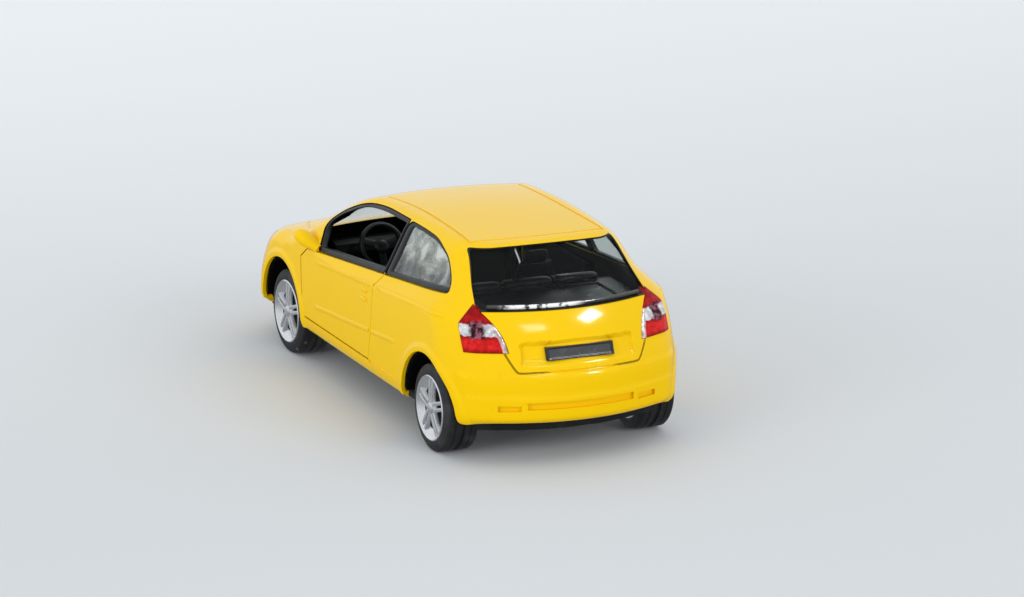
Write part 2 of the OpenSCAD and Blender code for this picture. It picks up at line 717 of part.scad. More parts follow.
module body_shell() {
    color(paint)
        difference() {
            union() {
                form(0);
                both_sides() {
                    arch_lip(front_axle_x, front_arch_r);
                    arch_lip(rear_axle_x, rear_arch_r);
                    rub_strip(strip_rear_x, door_rear_x - groove_w);
                }
            }
            difference() {
                form(wall, -wall);
                for (p = [front_post, rear_post])
                    translate([p.x, p.y, base_top_z + fit])
                        cylinder(d = post_d, h = p.z - base_top_z - fit);
            }
            difference() {
                union() {
                    roof_lines();
                    bonnet_lines();
                    tail_lines();
                }
                form(groove);
            }
            both_sides() {
                across_prism(moved(door_window_loop, door_gap), 0, half_w + overrun);
                across_prism(moved(quarter_loop, fit), 0, half_w + overrun);
                across_prism(moved(door_loop, -door_gap), half_w - wall - 2 * overrun, half_w + overrun);
                arch_cut(front_axle_x, front_arch_r);
                arch_cut(rear_axle_x, rear_arch_r);
                lamp_hole(tail_turn, tail_corners);
                lamp_hole(head_turn, head_corners);
                hinge_notch_cut();
            }
            lamp_hole(0, grille_corners);
            screen_opening(0);
            rear_opening(0);
            for (p = [front_post, rear_post])
                translate([p.x, p.y, 0])
                    cylinder(d = screw_d + fit, h = post_depth + base_top_z);
        }
}
post_depth = 7;

// Clear moulding: a dome under the roof with plugs that fill the window openings
plug_sink = 0.5;
dome_depth = wall + fit;
dome_low = 1.2;
dome_pillar_x = 21.5;
dome_rail_x = 6.5;
dome_rail_z = 36.2;
module side_block(places) {
    hull()
        for (p = places)
            translate([p.x, 0, p.y])
                rotate([90, 0, 0])
                    cylinder(d = fit, h = body_w, center = true, $fn = 6);
}
module dome_region() {
    high = roof_z + overrun;
    split = window_split_x - frame_w;
    quarter = [split, belt_z(split) - dome_low];
    corner = [shelf_rear_x + corner_r, belt_z(window_rear_x) - dome_low];
    side_block([[screen_x, screen_low_z - window_r / 2], [dome_pillar_x, screen_low_z - window_r / 2],
        [dome_rail_x, dome_rail_z], [dome_rail_x, high], [screen_x, high]]);
    side_block([[dome_rail_x, dome_rail_z], [dome_rail_x, high], [split, high], [split, dome_rail_z]]);
    side_block([quarter, corner, [corner.x, high], [split, high]]);
    side_block([corner, [corner.x, high], [-half_l, high], [-half_l, rear_sill_z - dome_low / 2],
        [shelf_rear_x, rear_sill_z - dome_low / 2]]);
}
module quarter_plug() {
    hull()
        for (p = moved(quarter_inner, -fit))
            translate([p.x, half_w / 2, p.y])
                rotate([-90, 0, 0])
                    cylinder(d = fit / 2, h = half_w, $fn = 6);
}
module window_glazing() {
    color([0.75, 0.82, 0.85, 0.5])
        difference() {
            union() {
                intersection() {
                    form(dome_depth, -wall);
                    dome_region();
                }
                intersection() {
                    form(plug_sink, -wall);
                    union() {
                        screen_opening(-fit);
                        rear_opening(-fit);
                        both_sides() quarter_plug();
                    }
                }
            }
            form(dome_depth + glass_t, -wall);
            both_sides() lamp_hole(tail_turn, tail_corners);
        }
}

module quarter_trim() {
    color(black)
        window_ring(quarter_loop, quarter_inner);
}
module left_quarter_trim() {
    quarter_trim();
}
module right_quarter_trim() {
    right_side() quarter_trim();
}

// Doors

door_column_shares = [0, 0.08, 0.2, 0.35, 0.5, 0.65, 0.8, 0.86, 0.93, 1];
function door_grid(inner) = [for (a = door_column_shares) [for (b = door_height_shares) let (
        q = door_place(a, b),
        y = half_width(q.x, q.y))
    [q.x, y - (inner ? door_wall(q.x) : 0), q.y]]];
module door() {
    color(paint)
        union() {
            slab(door_grid(false), door_grid(true));
            rub_strip(strip_front_x, door_rear_x + 2 * groove_w);
            door_handle();
        }
}
module left_door() {
    door();
}
module right_door() {
    right_side() door();
}
module window_frame() {
    color(black)
        window_ring(door_window_loop, moved(door_window_loop, -frame_w));
}
module left_window_frame() {
    window_frame();
}
module right_window_frame() {
    right_side() window_frame();
}

// Inner door panel with the hinge knuckle and bosses that reach the skin
trim_t = 1.2;
trim_back = 0.7;
trim_far = hinge_y - trim_back;
trim_near = trim_far - trim_t;
trim_low_z = 11.2;
trim_high_z = 24.8;
trim_rear_x = -11;
trim_clear = 1.4;
knuckle_r = 0.9;
lug_gap = 0.6;
lower_lug_z = 8.8;
upper_lug_z = 21.4;
knuckle_low_z = lower_lug_z + lug_h + lug_gap;
knuckle_high_z = upper_lug_z - lug_gap;
boss_d = 2.4;
boss_rear_x = -8;
boss_front_x = 12;
boss_low_z = 14;
boss_high_z = 22;
pocket_l = 16;
pocket_h = 4;
pocket_t = 0.8;
module door_trim() {
    color(black)
        difference() {
            union() {
                translate([trim_rear_x, trim_near, trim_low_z])
                    cube([hinge_x - trim_clear - trim_rear_x, trim_far - trim_near,
                        trim_high_z - trim_low_z]);
                for (x = [boss_rear_x, boss_front_x], z = [boss_low_z, boss_high_z])
                    translate([x, trim_near, z])
                        rotate([-90, 0, 0])
                            cylinder(d = boss_d, h = half_width(x, z) - wall - fit / 2 - trim_near);
                translate([hinge_x - 2 * trim_clear, trim_far - hinge_wall, knuckle_low_z])
                    cube([2 * trim_clear, 2 * hinge_wall, knuckle_high_z - knuckle_low_z]);
                translate([hinge_x, hinge_y, knuckle_low_z])
                    cylinder(r = knuckle_r, h = knuckle_high_z - knuckle_low_z);
                translate([-pocket_l / 4, trim_near - pocket_t, trim_low_z])
                    cube([pocket_l, pocket_t + fit, pocket_h]);
            }
            translate([hinge_x, hinge_y, 0])
                cylinder(d = pin_d, h = roof_z);
        }
}
module left_door_trim() {
    door_trim();
}
module right_door_trim() {
    right_side() door_trim();
}
pin_over = 0.2;
module hinge_pin() {
    color("silver")
        translate([hinge_x, hinge_y, lower_lug_z - pin_over])
            cylinder(d = pin_d, h = upper_lug_z - lower_lug_z + lug_h + 2 * pin_over);
}
module left_hinge_pin() {
    hinge_pin();
}
module right_hinge_pin() {
    right_side() hinge_pin();
}
mirror_x = 19.6;
mirror_y = 25.6;
mirror_z = 27.5;
foot_x = 17.6;
foot_z = 24.5;
foot_d = 1.1;
foot_t = 0.3;
// Drop-shaped housing that runs down to a round foot just clear of the door skin
module side_mirror() {
    foot = [foot_x, half_width(foot_x, foot_z), foot_z];
    out = outward(foot);
    color(paint)
        hull() {
            translate([mirror_x, mirror_y, mirror_z])
                intersection() {
                    scale([mirror_t / mirror_h, mirror_l / mirror_h, 1])
                        sphere(d = mirror_h, $fn = 24);
                    translate([-mirror_t / 4, -mirror_l, -mirror_h])
                        cube([mirror_t, 2 * mirror_l, 2 * mirror_h]);
                }
            translate(foot + fit * out)
                rotate([0, acos(out.z), atan2(out.y, out.x)])
                    cylinder(d = foot_d, h = foot_t, $fn = 16);
        }
}
module left_mirror() {
    side_mirror();
}
module right_mirror() {
    right_side() side_mirror();
}

// Lamps, grille and plate

module left_tail_light() {
    color("red") lamp(tail_turn, tail_corners);
}
module right_tail_light() {
    right_side() left_tail_light();
}
module left_headlight() {
    color("white") lamp(head_turn, head_corners);
}
module right_headlight() {
    right_side() left_headlight();
}
grille_runs = 10;
grille_sink = 0.2;
grille_rib = 0.6;
module front_grille() {
    color(black) lamp(0, grille_corners, -grille_sink, lamp_t, grille_rib, grille_runs);
}
plate_frame = 0.4;
plate_step = 0.15;
module number_plate() {
    low = rear_face(0, plate_z - plate_h / 2);
    high = rear_face(0, plate_z + plate_h / 2);
    lean = atan2(high - low, plate_h);
    seat = groove / end_share + fit;
    color("lightgrey")
        translate([(low + high) / 2 + seat - plate_t, 0, plate_z])
            rotate([0, lean, 0])
                difference() {
                    translate([0, -plate_w / 2, -plate_h / 2])
                        cube([plate_t, plate_w, plate_h]);
                    translate([-overrun, plate_frame - plate_w / 2, plate_frame - plate_h / 2])
                        cube([overrun + plate_step, plate_w - 2 * plate_frame, plate_h - 2 * plate_frame]);
                }
}

// Wheels

rim_y = wheel_y - tyre_w / 2 + fit;
rim_w = tyre_w;
rim_ring = 0.9;
hub_d = 4.8;
spoke_w = 0.9;
spoke_gap = 0.5;
spoke_t = 1.4;
spoke_sink = 0.5;
disc_t = 1.2;
disc_sink = 3.2;
cap_d = 2.4;
cap_t = 0.4;
shoulder_r = 1.2;
tread_w = 0.8;
tread_depth = 0.4;
wheel_fn = 64;
module rim() {
    face = rim_w - spoke_sink - spoke_t;
    color("silver")
        translate([0, rim_y, axle_z])
            rotate([-90, 0, 0])
                difference() {
                    union() {
                        difference() {
                            cylinder(d = rim_d, h = rim_w, $fn = wheel_fn);
                            translate([0, 0, -overrun])
                                cylinder(d = rim_d - 2 * rim_ring, h = rim_w + 2 * overrun, $fn = wheel_fn);
                        }
                        translate([0, 0, rim_w - disc_sink - disc_t])
                            cylinder(d = rim_d - rim_ring, h = disc_t);
                        cylinder(d = hub_d, h = rim_w - spoke_sink + fit);
                        translate([0, 0, rim_w - spoke_sink])
                            cylinder(d = cap_d, h = cap_t);
                        for (k = [1 : spoke_pairs], side = [0, 1])
                            rotate(360 * k / spoke_pairs)
                                translate([hub_d / 4,
                                    side * (spoke_gap + spoke_w) - spoke_gap / 2 - spoke_w, face])
                                    cube([(rim_d - rim_ring) / 2 - hub_d / 4, spoke_w, spoke_t]);
                    }
                    translate([0, 0, -overrun])
                        cylinder(d = axle_d, h = rim_w - disc_sink);
                }
}
module tyre() {
    r = tyre_d / 2;
    inner = rim_d / 2;
    half = tyre_w / 2;
    groove_half = tread_w / 2;
    color(black)
        translate([0, wheel_y, axle_z])
            rotate([90, 0, 0])
                rotate_extrude($fn = wheel_fn)
                    polygon(concat([[inner, half]],
                        [for (t = [90 : -15 : 0])
                            [r - shoulder_r + shoulder_r * cos(t), half - shoulder_r + shoulder_r * sin(t)]],
                        [[r, groove_half], [r - tread_depth, groove_half], [r - tread_depth, -groove_half],
                            [r, -groove_half]],
                        [for (t = [0 : -15 : -90])
                            [r - shoulder_r + shoulder_r * cos(t), -half + shoulder_r + shoulder_r * sin(t)]],
                        [[inner, -half]]));
}
axle_end = rim_y + rim_w - disc_sink - overrun;
module axle(x) {
    color("silver")
        translate([x, axle_end, axle_z])
            rotate([90, 0, 0])
                cylinder(d = axle_d, h = 2 * axle_end);
}
module front_axle() {
    axle(front_axle_x);
}
module rear_axle() {
    axle(rear_axle_x);
}
module front_left_rim() {
    translate([front_axle_x, 0, 0]) rim();
}
module front_right_rim() {
    right_side() front_left_rim();
}
module rear_left_rim() {
    translate([rear_axle_x, 0, 0]) rim();
}
module rear_right_rim() {
    right_side() rear_left_rim();
}
module front_left_tyre() {
    translate([front_axle_x, 0, 0]) tyre();
}
module front_right_tyre() {
    right_side() front_left_tyre();
}
module rear_left_tyre() {
    translate([rear_axle_x, 0, 0]) tyre();
}
module rear_right_tyre() {
    right_side() rear_left_tyre();
}

// Chassis with wheel wells and axle bearings

well_gap = 0.8;
well_t = 0.7;
well_far = 19.9;
well_near = wheel_y - tyre_w / 2 - well_gap;
end_clear = 1.2;
bearing_w = 3;
bearing_l = 4;
bearing_h = 2.2;
outline_steps = 8;
base_outline = concat(
    [for (k = [0 : outline_steps]) let (y = base_half * (2 * k / outline_steps - 1))
        [front_face(y, sill_z) - (wall + end_clear) / end_share, y]],
    [for (k = [outline_steps : -1 : 0]) let (y = base_half * (2 * k / outline_steps - 1))
        [rear_face(y, sill_z) + (wall + end_clear) / end_share, y]]);
module wheel_well(x) {
    r = tyre_d / 2 + well_gap;
    translate([x, 0, axle_z])
        rotate([-90, 0, 0]) {
            translate([0, 0, well_near - well_t])
                difference() {
                    cylinder(r = r + well_t, h = well_far - well_near + well_t);
                    translate([0, 0, well_t])
                        cylinder(r = r, h = well_far);
                    translate([-2 * r, 0, -overrun])
                        cube([4 * r, 2 * r, well_far]);
                    translate([0, 0, -overrun])
                        cylinder(d = axle_d + 4 * axle_play, h = well_far);
                }
        }
}
module wheel_gap(x) {
    reach = tyre_d / 2 + well_gap;
    translate([x - reach, well_near, 0])
        cube([2 * reach, half_w, axle_z]);
}
module bearing(x) {
    translate([x - bearing_l / 2, well_near - well_t - bearing_w, base_top_z - fit])
        cube([bearing_l, bearing_w + fit, axle_z + bearing_h - base_top_z]);
}
module chassis() {
    color(black)
        difference() {
            union() {
                difference() {
                    translate([0, 0, base_z])
                        linear_extrude(base_top_z - base_z)
                            polygon(base_outline);
                    both_sides() {
                        wheel_gap(front_axle_x);
                        wheel_gap(rear_axle_x);
                    }
                }
                both_sides() {
                    wheel_well(front_axle_x);
                    wheel_well(rear_axle_x);
                    bearing(front_axle_x);
                    bearing(rear_axle_x);
                }
            }
            for (x = [front_axle_x, rear_axle_x])
                translate([x, half_w, axle_z])
                    rotate([90, 0, 0])
                        cylinder(r = axle_d / 2 + axle_play, h = body_w);
            for (p = [front_post, rear_post])
                translate([p.x, p.y, 0]) {
                    cylinder(d = screw_d + 2 * fit, h = roof_z);
                    cylinder(d = screw_head_d + 2 * fit, h = base_z + screw_sink);
                }
        }
}
screw_sink = 1.1;
screw_head_h = 0.9;
screw_slot = 0.6;
module screw(p) {
    color("silver")
        translate([p.x, p.y, base_z + screw_sink - screw_head_h])
            difference() {
                union() {
                    cylinder(d = screw_head_d, h = screw_head_h);
                    cylinder(d = screw_d, h = post_depth);
                }
                translate([-screw_head_d / 2, -screw_slot / 2, -overrun])
                    cube([screw_head_d, screw_slot, overrun + screw_head_h / 2]);
            }
}
module front_screw() {
    screw(front_post);
}
module rear_screw() {
    screw(rear_post);
}

// Cabin

bench_front_x = -19;
bench_z = 15;
bench_back_t = 3;
bench_half = 15;
rest_t = 2;
rest_gap = 0.9;
rest_h = 1.4;
rest_w = 2 * bench_half / 3;
shelf_half = 18;
shelf_rim = 4.2;
shelf_recess = 0.6;
shelf_cut = lamp_t + wall;
shelf_outline = [[shelf_front_x, -shelf_half], [shelf_front_x, shelf_half],
    [shelf_rear_x + shelf_cut, shelf_half], [shelf_rear_x, shelf_half - shelf_cut],
    [shelf_rear_x, shelf_cut - shelf_half], [shelf_rear_x + shelf_cut, -shelf_half]];
leg_t = 1.2;
leg_half = 12;
arm_t = 1.2;
module block(x0, x1, half, z0, z1) {
    translate([x0, -half, z0])
        cube([x1 - x0, 2 * half, z1 - z0]);
}
module interior_tub() {
    low = base_top_z + fit;
    back_x = shelf_front_x;
    color([0.16, 0.16, 0.17])
        difference() {
            union() {
                block(back_x, tub_front_x, tub_half - tub_t, low, floor_z);
                block(back_x, bench_front_x, bench_half, floor_z - fit, bench_z);
                block(back_x - bench_back_t, back_x, bench_half, bench_z - shelf_rim, shelf_z);
                block(back_x - fit, back_x + fit, bench_half, low, bench_z);
                difference() {
                    translate([0, 0, shelf_z - tub_t])
                        linear_extrude(tub_t)
                            polygon(shelf_outline);
                    block(shelf_rear_x + shelf_rim, back_x - shelf_rim, shelf_half - shelf_rim,
                        shelf_z - shelf_recess, roof_z);
                }
                for (k = [-2, 0, 2])
                    translate([back_x - rest_t, (k * rest_w - rest_w + rest_gap) / 2, shelf_z - fit])
                        cube([rest_t, rest_w - rest_gap, rest_h]);
                block(shelf_rear_x + leg_t, shelf_rear_x + 2 * leg_t, leg_half, low, shelf_z - fit);
                both_sides() {
                    translate([hinge_x, hinge_y, lower_lug_z])
                        cylinder(r = lug_r, h = lug_h);
                    translate([hinge_x, hinge_y, upper_lug_z])
                        cylinder(r = lug_r, h = lug_h);
                    for (z = [lower_lug_z, upper_lug_z])
                        translate([hinge_x - arm_t / 2, tub_half - 2 * tub_t, z])
                            cube([arm_t, hinge_y - tub_half + 2 * tub_t, lug_h]);
                    translate([hinge_x - arm_t, tub_half - 2 * tub_t, low])
                        cube([2 * arm_t, tub_t, upper_lug_z + lug_h - low]);
                }
            }
            both_sides()
                translate([hinge_x, hinge_y, 0])
                    cylinder(d = pin_d + 2 * pin_play, h = roof_z);
        }
}

// Seats: side outline drawn across the width, places as shares of the seat's length and height
seat_front_x = 4;
seat_l = 17;
seat_h = 18.6;
seat_shares = [[0, 0], [1, 0], [1, 0.14], [0.93, 0.33], [0.86, 0.36], [0.42, 0.3], [0.33, 0.36],
    [0.16, 0.94], [0.1, 1], [0.02, 1], [-0.03, 0.95]];
head_shares = [[-0.02, 0], [0.08, 0], [0.06, 0.12], [0, 0.12]];
head_share = 0.5;
module seat(y) {
    color([0.2, 0.2, 0.21])
        translate([seat_front_x - seat_l, y, floor_z + fit]) {
            across_prism([for (s = seat_shares) [s[0] * seat_l, s[1] * seat_h]], -seat_w / 2, seat_w / 2);
            translate([0, 0, seat_h - fit])
                across_prism([for (s = head_shares) [s[0] * seat_l, s[1] * seat_h]],
                    -seat_w * head_share / 2, seat_w * head_share / 2);
        }
}
module driver_seat() {
    seat(seat_y);
}
module passenger_seat() {
    seat(-seat_y);
}

dash_rear_x = 20;
dash_front_x = 26.6;
dash_half = 18.4;
dash_high_z = 25;
dash_low_z = 14;
dash_shares = [[0.18, 0], [0.06, 0.4], [0, 0.82], [0.1, 0.96], [0.4, 1], [1, 0.95], [1, 0.7],
    [0.3, 0.5], [0.25, 0]];
foot_wall_share = 0.2;
foot_wall_t = 0.4;
module dashboard() {
    size = [dash_front_x - dash_rear_x, dash_high_z - dash_low_z];
    foot_x = dash_rear_x + size.x * foot_wall_share;
    color([0.16, 0.16, 0.17]) {
        across_prism([for (s = dash_shares) [dash_rear_x + s[0] * size.x, dash_low_z + s[1] * size.y]],
            -dash_half, dash_half);
        block(foot_x, foot_x + foot_wall_t, dash_half, floor_z + fit, dash_low_z + fit);
    }
}
steer_x = 17.6;
steer_z = 24.4;
column_l = 2.6;
module steering_wheel() {
    r = (steer_d - steer_t) / 2;
    color(black)
        translate([steer_x, seat_y, steer_z])
            rotate([0, 90 + steer_tilt, 0]) {
                rotate_extrude()
                    translate([r, 0])
                        circle(d = steer_t, $fn = 16);
                translate([0, 0, -steer_t / 2])
                    cylinder(d = steer_d / 3, h = steer_t);
                cylinder(d = steer_t, h = column_l);
                for (turn = [0, 120, 240])
                    rotate(turn)
                        translate([0, -steer_t / 2, -steer_t / 4])
                            cube([r, steer_t, steer_t / 2]);
            }
}

body_shell();
chassis();
front_screw();
rear_screw();
interior_tub();
dashboard();
steering_wheel();
driver_seat();
passenger_seat();
window_glazing();
left_quarter_trim();
right_quarter_trim();
left_door();
right_door();
left_door_trim();
right_door_trim();
left_window_frame();
right_window_frame();
left_mirror();
right_mirror();
left_hinge_pin();
right_hinge_pin();
left_tail_light();
right_tail_light();
left_headlight();
right_headlight();
front_grille();
number_plate();
front_axle();
rear_axle();
front_left_rim();
front_right_rim();
rear_left_rim();
rear_right_rim();
front_left_tyre();
front_right_tyre();
rear_left_tyre();
rear_right_tyre();
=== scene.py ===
"""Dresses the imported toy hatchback: painted shell and doors, clear moulding, lamps, wheels, cabin and a pale studio."""
import math

import bpy
import numpy as np
from mathutils import Matrix, Vector


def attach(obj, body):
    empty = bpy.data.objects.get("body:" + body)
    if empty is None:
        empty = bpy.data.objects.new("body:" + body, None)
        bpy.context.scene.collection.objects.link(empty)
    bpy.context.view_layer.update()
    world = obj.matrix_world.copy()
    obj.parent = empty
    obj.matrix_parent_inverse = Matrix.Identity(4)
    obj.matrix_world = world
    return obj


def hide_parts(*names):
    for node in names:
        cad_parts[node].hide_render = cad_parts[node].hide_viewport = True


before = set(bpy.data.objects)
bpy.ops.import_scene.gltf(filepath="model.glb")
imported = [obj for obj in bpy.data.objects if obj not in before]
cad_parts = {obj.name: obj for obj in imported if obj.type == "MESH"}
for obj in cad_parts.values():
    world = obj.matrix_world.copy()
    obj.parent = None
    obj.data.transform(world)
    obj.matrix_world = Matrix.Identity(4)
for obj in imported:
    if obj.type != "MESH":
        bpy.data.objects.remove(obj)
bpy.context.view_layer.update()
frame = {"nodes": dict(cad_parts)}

bl_info = {
    "name": "Toy hatchback looks",
    "version": (1, 0, 0),
    "blender": (4, 5, 0),
    "location": "View3D > Sidebar > Toy car",
    "description": "Builds the painted body, doors, windows, lamps, wheels and cabin of a toy hatchback",
    "category": "Object",
}

MM = 0.001

# Sizes in millimetres in the CAD's frame: x forwards, y to the left, z up. An arch is its middle and radius,
# the crease its width and height.
HALF_L, HALF_W, SILL_Z, ROOF_Z, WALL = 57.3, 24.7, 7.0, 40.0, 1.4
AXLE_Z, FRONT_AXLE_X, REAR_AXLE_X, WHEEL_Y = 8.4, 33.0, -39.2, 20.3
FRONT_ARCH, REAR_ARCH = (34.3, 10.8), (-38.2, 10.6)
HINGE_X, HINGE_Y = 19.7, 23.1
SILL_TOP, BELT_Z, BELT_RISE, CREASE_Z, CREASE_RISE = 10, 26.5, 5.7, 24.3, 5.0
REAR_BOW, FRONT_BOW, TAIL_RUN, TAIL_DROP = 8.4, 6.6, 28, 2.8
WINDOW_FRONT, WINDOW_SPAN, WINDOW_TOP, PILLAR_X, PILLAR_HALF = 18.4, 57.7, 37.9, -13.6, 0.225
DOOR_FOOT, GLASS_FOOT, STRIP_FRONT, STRIP_REAR = 10.5, 28.4, 16.4, -24.6
NEAR_CUT, FAR_CUT, SEAT_Y = 6, 28, 9.8
CREASE = (0.9, 0.09)


# The body surface, in millimetres, as a signed distance

def ramp(t, soft):
    """Zero for negative t, t for positive t, with a soft turn of the given size."""
    return (t + np.sqrt(t * t + soft * soft)) / 2


def ease(t):
    """Smooth step from 0 to 1."""
    s = np.clip(t, 0, 1)
    return s * s * (3 - 2 * s)


def meet(a, b, r):
    """Common part of two signed distances with an edge rounded to radius r."""
    return np.minimum(-r, np.maximum(a, b)) + np.hypot(np.maximum(r + a, 0), np.maximum(r + b, 0))


def join(a, b, r):
    """Sum of two signed distances with a fillet of radius r."""
    return -meet(-a, -b, r)


def belt(x):
    """Height of the lower window edge: a straight line that rises towards the tail."""
    return BELT_Z - BELT_RISE * x / HALF_L


def crease(x):
    """Height of the shoulder crease: a straight line that rises towards the tail."""
    return CREASE_Z - CREASE_RISE * x / HALF_L


def tuck(z):
    """Square of the depth below the top of the sill band, 1 at its foot."""
    return (np.maximum(SILL_TOP - z, 0) / (SILL_TOP - SILL_Z)) ** 2


def beyond(x, start):
    """Square of the way from start to the end of the car."""
    return (np.maximum(x - start, 0) / (HALF_L - start)) ** 2


def half_width(x, z):
    """Flank less its end tapers, sill tuck and belly curve, then a shoulder slope and the leaning windows."""
    straight, rear_taper, front_taper, sill_tuck = 18, 0.5, 1.3, 0.9
    belly_z, belly_run, belly_fall = 15, 10, 0.36
    low = (HALF_W - rear_taper * beyond(-x, straight) - front_taper * beyond(x, straight) - sill_tuck * tuck(z)
           - belly_fall * ((z - belly_z) / belly_run) ** 2)
    tail, mid_slope, tail_slope = beyond(-x, TAIL_RUN), 0.85, 1.1
    shoulder = low - (mid_slope + tail_slope * tail) * ramp(z - crease(x) + TAIL_DROP * tail, 0.2)
    window_half, window_lean, window_taper, window_run = 23.2, 0.5, 4.6, 12
    window = window_half - window_lean * (z - BELT_Z) - window_taper * beyond(-x, window_run)
    return np.minimum(low, shoulder + ramp(window - shoulder, 0.5))


def plate_dent(y, z):
    """Shallow recess round the plate: smooth steps at its sides and foot, a quick step under its upper ledge."""
    deep, half, top, foot = 0.8, 11.7, 23.4, 18.9
    return deep * ease((half - np.abs(y)) / 0.6) * ease((top - z) / 0.45) * ease((z - foot) / 1.4)


def rear_face(y, z):
    """Bowed bumper with a soft fold, a step to the tailgate, its growing lean, the plate recess and the straight
    rear window above."""
    lean_z, lean_run, lean_back, glass_slope = 15, 14, 6.3, 1.02
    lean = lean_back * (np.clip(z - lean_z, 0, lean_run) / lean_run) ** 2.2
    lean = lean + glass_slope * np.maximum(z - (lean_z + lean_run), 0)
    gate_z, gate_step, fold_z, fold_step = 17.6, 0.5, 13.0, 0.16
    steps = gate_step * ease((z - gate_z) / 0.8 + 0.5) + fold_step * ease((z - fold_z) / 0.9) + plate_dent(y, z)
    return -HALF_L + REAR_BOW * (y / HALF_W) ** 2 + tuck(z) + lean + steps


def front_face(y, z):
    """Bowed nose that leans back with the square of the height."""
    lean_back, lean_run = 9, 14
    return HALF_L - FRONT_BOW * (y / HALF_W) ** 2 - tuck(z) - lean_back * (np.maximum(z - SILL_TOP, 0) / lean_run) ** 2


def over_top(x, y, z):
    """Signed height over the crowned bonnet joined to the common part of windscreen and roof."""
    bonnet_x, bonnet_run, bonnet_z = 28, 26, 25.9
    s = np.maximum(x - bonnet_x, 0) / bonnet_run
    across = (y / HALF_W) ** 2
    bonnet = z - bonnet_z + 2.5 * s + 2.7 * s ** 3 + 1.0 * across
    foot_x, foot_z, rake, screen_bow = 31, 26.8, 1.86, 5.1
    screen = (x - (foot_x - rake * (z - foot_z) - screen_bow * across)) / math.hypot(1, rake)
    crest_x, roof_run, roof_half, rear_fall, front_fall, crown = -16, 20, 16, 0.35, 0.95, 0.45
    run = (x - crest_x) / roof_run
    roof = z - ROOF_Z + 0.75 + np.where(run < 0, rear_fall, front_fall) * run * run + crown * (y / roof_half) ** 2
    return join(bonnet, meet(screen, roof, 2.0), 0.8)


def skin(p, low=SILL_Z):
    """Signed distance from the painted surface: sides, ends, top and underside, higher at the tail, met with rounded
    edges."""
    x, y, z = p[..., 0], p[..., 1], p[..., 2]
    side_scale, end_scale, corner_r, top_r, foot_r = 0.93, 0.85, 5.0, 2.4, 1.2
    tail_lift, lift_x, lift_run = 1.1, -45, 8
    sides = meet((np.abs(y) - half_width(x, z)) * side_scale, (rear_face(y, z) - x) * end_scale, corner_r)
    walls = meet(sides, (x - front_face(y, z)) * end_scale, corner_r)
    return meet(meet(walls, over_top(x, y, z), top_r), low + tail_lift * ease((lift_x - x) / lift_run) - z, foot_r)


def slope(p):
    """Outward direction: the distance's gradient by central differences, made one unit long."""
    e = np.eye(3) * 0.02
    g = np.stack([skin(p + e[k]) - skin(p - e[k]) for k in range(3)], -1)
    return g / np.maximum(np.linalg.norm(g, axis=-1, keepdims=True), 1e-9)


def reach(a, b, depth=0.0, low=SILL_Z):
    """Places on the lines from a, inside, to b, outside, at a depth below the paint, by halving the interval."""
    a, b = np.broadcast_arrays(np.asarray(a, float), np.asarray(b, float))
    a, b = a.copy(), b.copy()
    for _ in range(34):
        m = (a + b) / 2
        inside = (skin(m, low) < -depth)[..., None]
        a, b = np.where(inside, m, a), np.where(inside, b, m)
    return (a + b) / 2


def on_flank(x, z, depth=0.0):
    """Place of the left side over x and z, sunk by the depth along the surface's own direction."""
    x, z, depth = np.broadcast_arrays(*(np.asarray(v, float) for v in (x, z, depth)))
    p = reach(np.stack([x, 0 * x, z], -1), np.stack([x, 0 * x + HALF_W + 3, z], -1))
    return p - depth[..., None] * slope(p)


# Meshes from arrays

def grid_faces(n, m, wrap_n=False, wrap_m=False, start=0):
    """Four-cornered faces of an n by m grid of points, closed round either way on request."""
    i, j = np.meshgrid(np.arange(n if wrap_n else n - 1), np.arange(m if wrap_m else m - 1), indexing="ij")
    k, l = (i + 1) % n, (j + 1) % m
    return (np.stack([i * m + j, k * m + j, k * m + l, i * m + l], -1).reshape(-1, 4) + start).tolist()


def volume(points, faces):
    """Six times the signed volume, from fans of triangles."""
    tri = np.array([(f[0], f[i], f[i + 1]) for f in faces for i in range(1, len(f) - 1)])
    a, b, c = (points[tri[:, k]] for k in range(3))
    return np.einsum("ij,ij->", a, np.cross(b, c))


def outward(points, faces):
    """The same solid with all its faces pointing outwards and its points in one list."""
    points = np.asarray(points, float).reshape(-1, 3)
    return (points, [f[::-1] for f in faces]) if volume(points, faces) < 0 else (points, faces)


def gather(*solids):
    """Several solids in one list of points and faces."""
    points, faces, start = [], [], 0
    for p, f in solids:
        points.append(p)
        faces += [[v + start for v in face] for face in f]
        start += len(p)
    return np.concatenate(points), faces


def mirrored(solid):
    """The same solid on the car's other side, with its faces turned back to point outwards."""
    return solid[0] * [1, -1, 1], [f[::-1] for f in solid[1]]


def shifted(solid, way):
    """The same solid moved."""
    return solid[0] + way, solid[1]


def both(solid):
    """A left solid and its mirror image."""
    return gather(solid, mirrored(solid))


def slab(outer, inner):
    """Closed solid between two grids of points, joined by a wall round their rims."""
    n, m = outer.shape[:2]
    k = n * m
    rim = np.concatenate([np.arange(m), np.arange(1, n) * m + m - 1,
                          (n - 1) * m + np.arange(m - 2, -1, -1), np.arange(n - 2, 0, -1) * m])
    after = np.roll(rim, -1)
    faces = grid_faces(n, m) + [f[::-1] for f in grid_faces(n, m, start=k)]
    faces += np.stack([rim, after, after + k, rim + k], -1).tolist()
    return outward(np.concatenate([outer.reshape(-1, 3), inner.reshape(-1, 3)]), faces)


